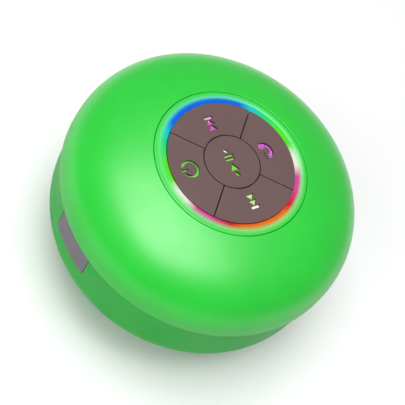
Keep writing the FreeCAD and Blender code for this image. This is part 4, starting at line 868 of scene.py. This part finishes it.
# %% The bezel
BEZEL_IN, BEZEL_OUT = 20.08, 22.02
bezel_mesh = bmesh.new()
turn_section(bezel_mesh, rounded_section([
    (BEZEL_IN, LEDGE_TOP, 0.1),
    (BEZEL_OUT, LEDGE_TOP, 0.1),
    (BEZEL_OUT, HEIGHT, 0.25),
    (BEZEL_IN, HEIGHT, 0.3),
], steps=6))
bezel = make_piece("bezel_skin", bezel_mesh, bezel_green)
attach(bezel, "housing")
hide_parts("control_bezel")

# %% The light guide
GUIDE_IN, FOOT_OUT = 18.6, 21.8
FOOT_LOW, FOOT_TOP = HEIGHT - 5.55, HEIGHT - 4.25
guide_mesh = bmesh.new()
turn_section(guide_mesh, rounded_section([
    (GUIDE_IN, FOOT_LOW, 0.1),
    (FOOT_OUT, FOOT_LOW, 0.2),
    (FOOT_OUT, FOOT_TOP, 0.2),
    (GUIDE_OUT, FOOT_TOP, 0.1),
    (GUIDE_OUT, HEIGHT, 0.45),
    (GUIDE_IN, HEIGHT, 0.45),
], steps=8))
guide = make_piece("light_guide_ring", guide_mesh, light_guide)
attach(guide, "housing")
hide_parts("light_ring")

# %% [markdown]
# ## The suction cup
# The cup is a thin bell of soft vinyl with a neck and a snap head that plugs into the rear shell. It could
# be a few straight cones, but the real one bends smoothly from its thick crown to its feather edge, so the
# section runs through a few chosen points on a smooth curve, with a few fine grip rings near the rim.

# %% A smooth curve through points
def through(points, count=10):
    """A smooth line through points (r, z), with count steps between neighbours."""
    ends = [points[0]] + points + [points[-1]]
    line = []
    for i in range(len(points) - 1):
        a, b, c, d = [Vector(p) for p in ends[i:i + 4]]
        for k in range(count):
            t = k / count
            pull = (2 * a - 5 * b + 4 * c - d) * t * t + (3 * b - a - 3 * c + d) * t * t * t
            line.append(tuple(0.5 * (2 * b + (c - a) * t + pull)) + (0.0,))
    return line + [tuple(points[-1]) + (0.0,)]


print("a smooth line through three points has", len(through([(0, 0), (1, 1), (2, 0)])), "points")

# %% The suction cup
GRIP_FROM, GRIP_TO, GRIP_HEIGHT = 23.0, 29.0, 0.07
upper = through([(29.75, 0.55), (24.0, 4.45), (15.0, 8.27), (7.6, 10.45)])
lower = through([(0.0, 8.2), (3.0, 8.2), (8.1, 7.42), (16.5, 5.51), (25.2, 2.12), (28.8, 0.25)])
grip = []
for r, z, _ in upper:
    ripple = GRIP_HEIGHT * math.sin(math.pi * r) if GRIP_FROM < r < GRIP_TO else 0.0
    grip.append((r, z + ripple, 0.0))
cup_section = rounded_section(
    [(29.2, 0.0, 0.0), (29.85, 0.1, 0.0), (30.0, 0.3, 0.0)] + grip
    + [(6.95, 10.7, 0.4), (5.15, 12.7, 0.3), (3.95, 12.9, 0.3), (3.95, 15.15, 0.25)]
    + [(5.6, 15.15, 0.3), (5.6, 16.05, 0.3), (4.0, 17.55, 0.4), (0.0, 17.55, 0.0)] + lower
)
cup_mesh = bmesh.new()
turn_section(cup_mesh, cup_section, steps=192)
cup = make_piece("cup_skin", cup_mesh, cup_rubber, sharp=60.0)
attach(cup, "suction_cup")
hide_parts("suction_cup")

# %% [markdown]
# ## The cone's suspension
# The cone hangs between two soft rings: the rubber surround at its rim and the corrugated spider at its
# neck. Each is held by the housing outside and by the cone inside, so it has to stretch when the cone moves.
# Each ring is cut into twelve sectors.

# %% The rings' sections
ROLL_MIDDLE, ROLL_BIG, ROLL_SMALL, ROLL_LEVEL = 16.45, 0.85, 0.55, 17.55


def half_roll(radius, forward):
    """The lower half of a circle around the roll's middle, in or out."""
    turns = [math.pi * k / 8 for k in range(9)]
    arc = [(ROLL_MIDDLE + radius * math.cos(a), ROLL_LEVEL - radius * math.sin(a)) for a in turns]
    return arc if forward else arc[::-1]


surround_section = half_roll(ROLL_SMALL, True) + [(15.9, 17.8), (15.6, 17.8)] + half_roll(ROLL_BIG, False)
surround_section += [(17.3, 17.3), (19.6, 17.3), (19.6, 17.8), (17.0, 17.8)]
SPIDER_INNER, SPIDER_OUTER, SPIDER_TOP, CLOTH = 6.25, 13.8, 24.8, 0.35
# Three waves of cloth between a narrow flat neck and a wider flat rim.
NECK, RIM, WAVES, WAVE_STEPS, HALF_WAVE = 0.6, 1.5, 3, 24, 0.4
wave_span = SPIDER_OUTER - RIM - SPIDER_INNER - NECK
spider_upper = [(SPIDER_INNER, SPIDER_TOP)]
for k in range(WAVE_STEPS + 1):
    dip = HALF_WAVE * (1.0 - math.cos(2 * math.pi * WAVES * k / WAVE_STEPS))
    spider_upper.append((SPIDER_INNER + NECK + wave_span * k / WAVE_STEPS, SPIDER_TOP - dip))
spider_upper.append((SPIDER_OUTER, SPIDER_TOP))
spider_section = spider_upper + [(r, z - CLOTH) for r, z in spider_upper[::-1]]
print("the surround's section has", len(surround_section), "points, the spider's", len(spider_section))

# %% Surround and spider in sectors
SECTORS = 12


def suspension(name, section, finish, held, moved, level):
    """A ring cut into sectors, each a piece of its own; the frame's piece of that name is hidden."""
    for k in range(SECTORS):
        first = 360.0 * k / SECTORS
        mesh = bmesh.new()
        turn_section(mesh, section, steps=10, first=first, last=first + 360.0 / SECTORS)
        sector = make_piece("%s_%02d" % (name, k + 1), mesh, finish)
        a = math.radians(first + 180.0 / SECTORS)
        start, end = turned(held, level, a), turned(moved, level, a)
        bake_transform(sector)
        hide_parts(name)


suspension("surround", surround_section, seal_rubber,
           held=17.3, moved=15.6, level=ROLL_LEVEL)
suspension("spider", spider_section, spider_cloth,
           held=12.3, moved=6.9, level=SPIDER_TOP)

# %% [markdown]
# ## The port flap
# The flap is a curved rubber plate that follows the band, with a plug on its back that fills the port. Its
# front edges are rounded over a quarter of a millimetre. A flat plate with a Bevel and a bend would need a
# lot of care at the corners, so the plate is laid out on the band directly: across it by angle, up it by
# height, and sunk near its borders by the rounding.

# %% Plates on the band
FLAP_OUT, FLAP_IN = 42.5, 41.45
FLAP_HALF = math.radians(10.6)
flap_low, flap_high = [corner.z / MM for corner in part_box("port_flap")]
ROUNDING = 0.25


def spread(length, count):
    """Steps along a length that crowd together near both ends, for a rounded border."""
    near = [0.0, 0.02, 0.06, 0.12, 0.18, ROUNDING]
    middle = [ROUNDING + (length - 2 * ROUNDING) * k / count for k in range(1, count)]
    return near + middle + [length - n for n in near[::-1]]


def sunk(along, length):
    """How far a rounded border has dropped at a place along a length."""
    inside = min(along, length - along, ROUNDING)
    return ROUNDING - math.sqrt(ROUNDING ** 2 - (ROUNDING - inside) ** 2)


def on_band(mesh, angle, r, z):
    """A corner at an angle from +Y, a radius and a height in millimetres."""
    return mesh.verts.new((r * math.sin(angle) * MM, r * math.cos(angle) * MM, z * MM))


def curved_plate(mesh, half, r_in, r_out, low, high, sink=sunk):
    """A plate on the band with rounded front borders, closed all round."""
    wide = 2 * half * r_out
    across, upwards = spread(wide, 36), spread(high - low, 14)
    front, rear = [], []
    for u in across:
        angle = u / r_out - half
        drop = [max(sink(u, wide), sink(v, high - low)) for v in upwards]
        front.append([on_band(mesh, angle, r_out - d, low + v) for d, v in zip(drop, upwards)])
        rear.append([on_band(mesh, angle, r_in, low + v) for v in upwards])
    for i in range(len(across) - 1):
        for j in range(len(upwards) - 1):
            mesh.faces.new((front[i][j], front[i + 1][j], front[i + 1][j + 1], front[i][j + 1]))
            mesh.faces.new((rear[i][j], rear[i][j + 1], rear[i + 1][j + 1], rear[i + 1][j]))
        for j in (0, -1):
            mesh.faces.new((front[i][j], rear[i][j], rear[i + 1][j], front[i + 1][j]))
    for j in range(len(upwards) - 1):
        for i in (0, -1):
            mesh.faces.new((front[i][j], front[i][j + 1], rear[i][j + 1], rear[i][j]))


print("the flap is %.1f by %.1f mm" % (2 * FLAP_HALF * FLAP_OUT, flap_high - flap_low))

# %% [markdown]
# ## The plug on the flap's back
# The plug is a rectangular block with round corners that fills the port, and its far end is eased so that
# it finds its way in. It shares the plate's mesh, because the real flap and plug are one moulding.

# %% The flap's plate and plug
def rounded_block(mesh, wide, high, corner, levels, middle, steps=6):
    """A block along Y with rounded corners. Each level is (y, inset): insets round the end's edge."""
    rings = []
    for y, inset in levels:
        ring = []
        for k in range(4 * (steps + 1)):
            quarter, share = divmod(k, steps + 1)
            a = math.pi / 2 * (quarter + share / steps)
            px = (wide / 2 - corner) * (1 if quarter in (0, 3) else -1) + (corner - inset) * math.cos(a)
            pz = (high / 2 - corner) * (1 if quarter in (0, 1) else -1) + (corner - inset) * math.sin(a)
            ring.append(mesh.verts.new((px * MM, y * MM, (middle + pz) * MM)))
        rings.append(ring)
    for ring, other in zip(rings, rings[1:]):
        for k in range(len(ring)):
            n = (k + 1) % len(ring)
            mesh.faces.new((ring[k], ring[n], other[n], other[k]))
    mesh.faces.new(rings[0])
    mesh.faces.new(rings[-1])


PORT_MIDDLE = (flap_low + flap_high) / 2
flap_mesh = bmesh.new()
curved_plate(flap_mesh, FLAP_HALF, FLAP_IN, FLAP_OUT, flap_low, flap_high)
plug_levels = [(40.25, 0.45), (40.29, 0.25), (40.40, 0.10), (40.60, 0.0), (41.85, 0.0)]
rounded_block(flap_mesh, wide=10.1, high=4.9, corner=1.4, levels=plug_levels, middle=PORT_MIDDLE)
flap = make_piece("flap_skin", flap_mesh, flap_rubber)
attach(flap, "port_flap")
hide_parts("port_flap")

# %% [markdown]
# ## The flap's strap
# The flap hangs from the band by a thin strap of the same rubber, and the strap is what bends when the
# port is opened. It is a plain plate without rounding.

# %% The strap
STRAP_IN, STRAP_OUT = 41.36, 41.60
STRAP_HALF = math.radians(10.3)


def square_border(along, length):
    """A border that isn't rounded."""
    return 0.0


strap_mesh = bmesh.new()
curved_plate(strap_mesh, STRAP_HALF, STRAP_IN, STRAP_OUT, flap_low + 0.06, flap_low + 1.3,
             sink=square_border)
strap = make_piece("flap_strap", strap_mesh, flap_rubber)
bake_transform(strap)

# %% [markdown]
# ## The floor
# The speaker rests on its cup on a plain pale sheet, large enough to fill every view.

# %% Floor
EDGE = 3.0
floor_corners = [(-EDGE, -EDGE, 0), (EDGE, -EDGE, 0), (EDGE, EDGE, 0), (-EDGE, EDGE, 0)]
floor_mesh = bpy.data.meshes.new("floor")
floor_mesh.from_pydata(floor_corners, [], [(0, 1, 2, 3)])
floor = bpy.data.objects.new("floor", floor_mesh)
bpy.context.scene.collection.objects.link(floor)
paper = Finish("floor_paper", (250, 250, 250), 0.9)
paper.set("Base Color", paper.mix(paper.grain(40.0), linear((247, 247, 247)), linear((252, 252, 252))))
floor.data.materials.append(paper.material)
print("floor %.0f m wide" % (2 * EDGE))
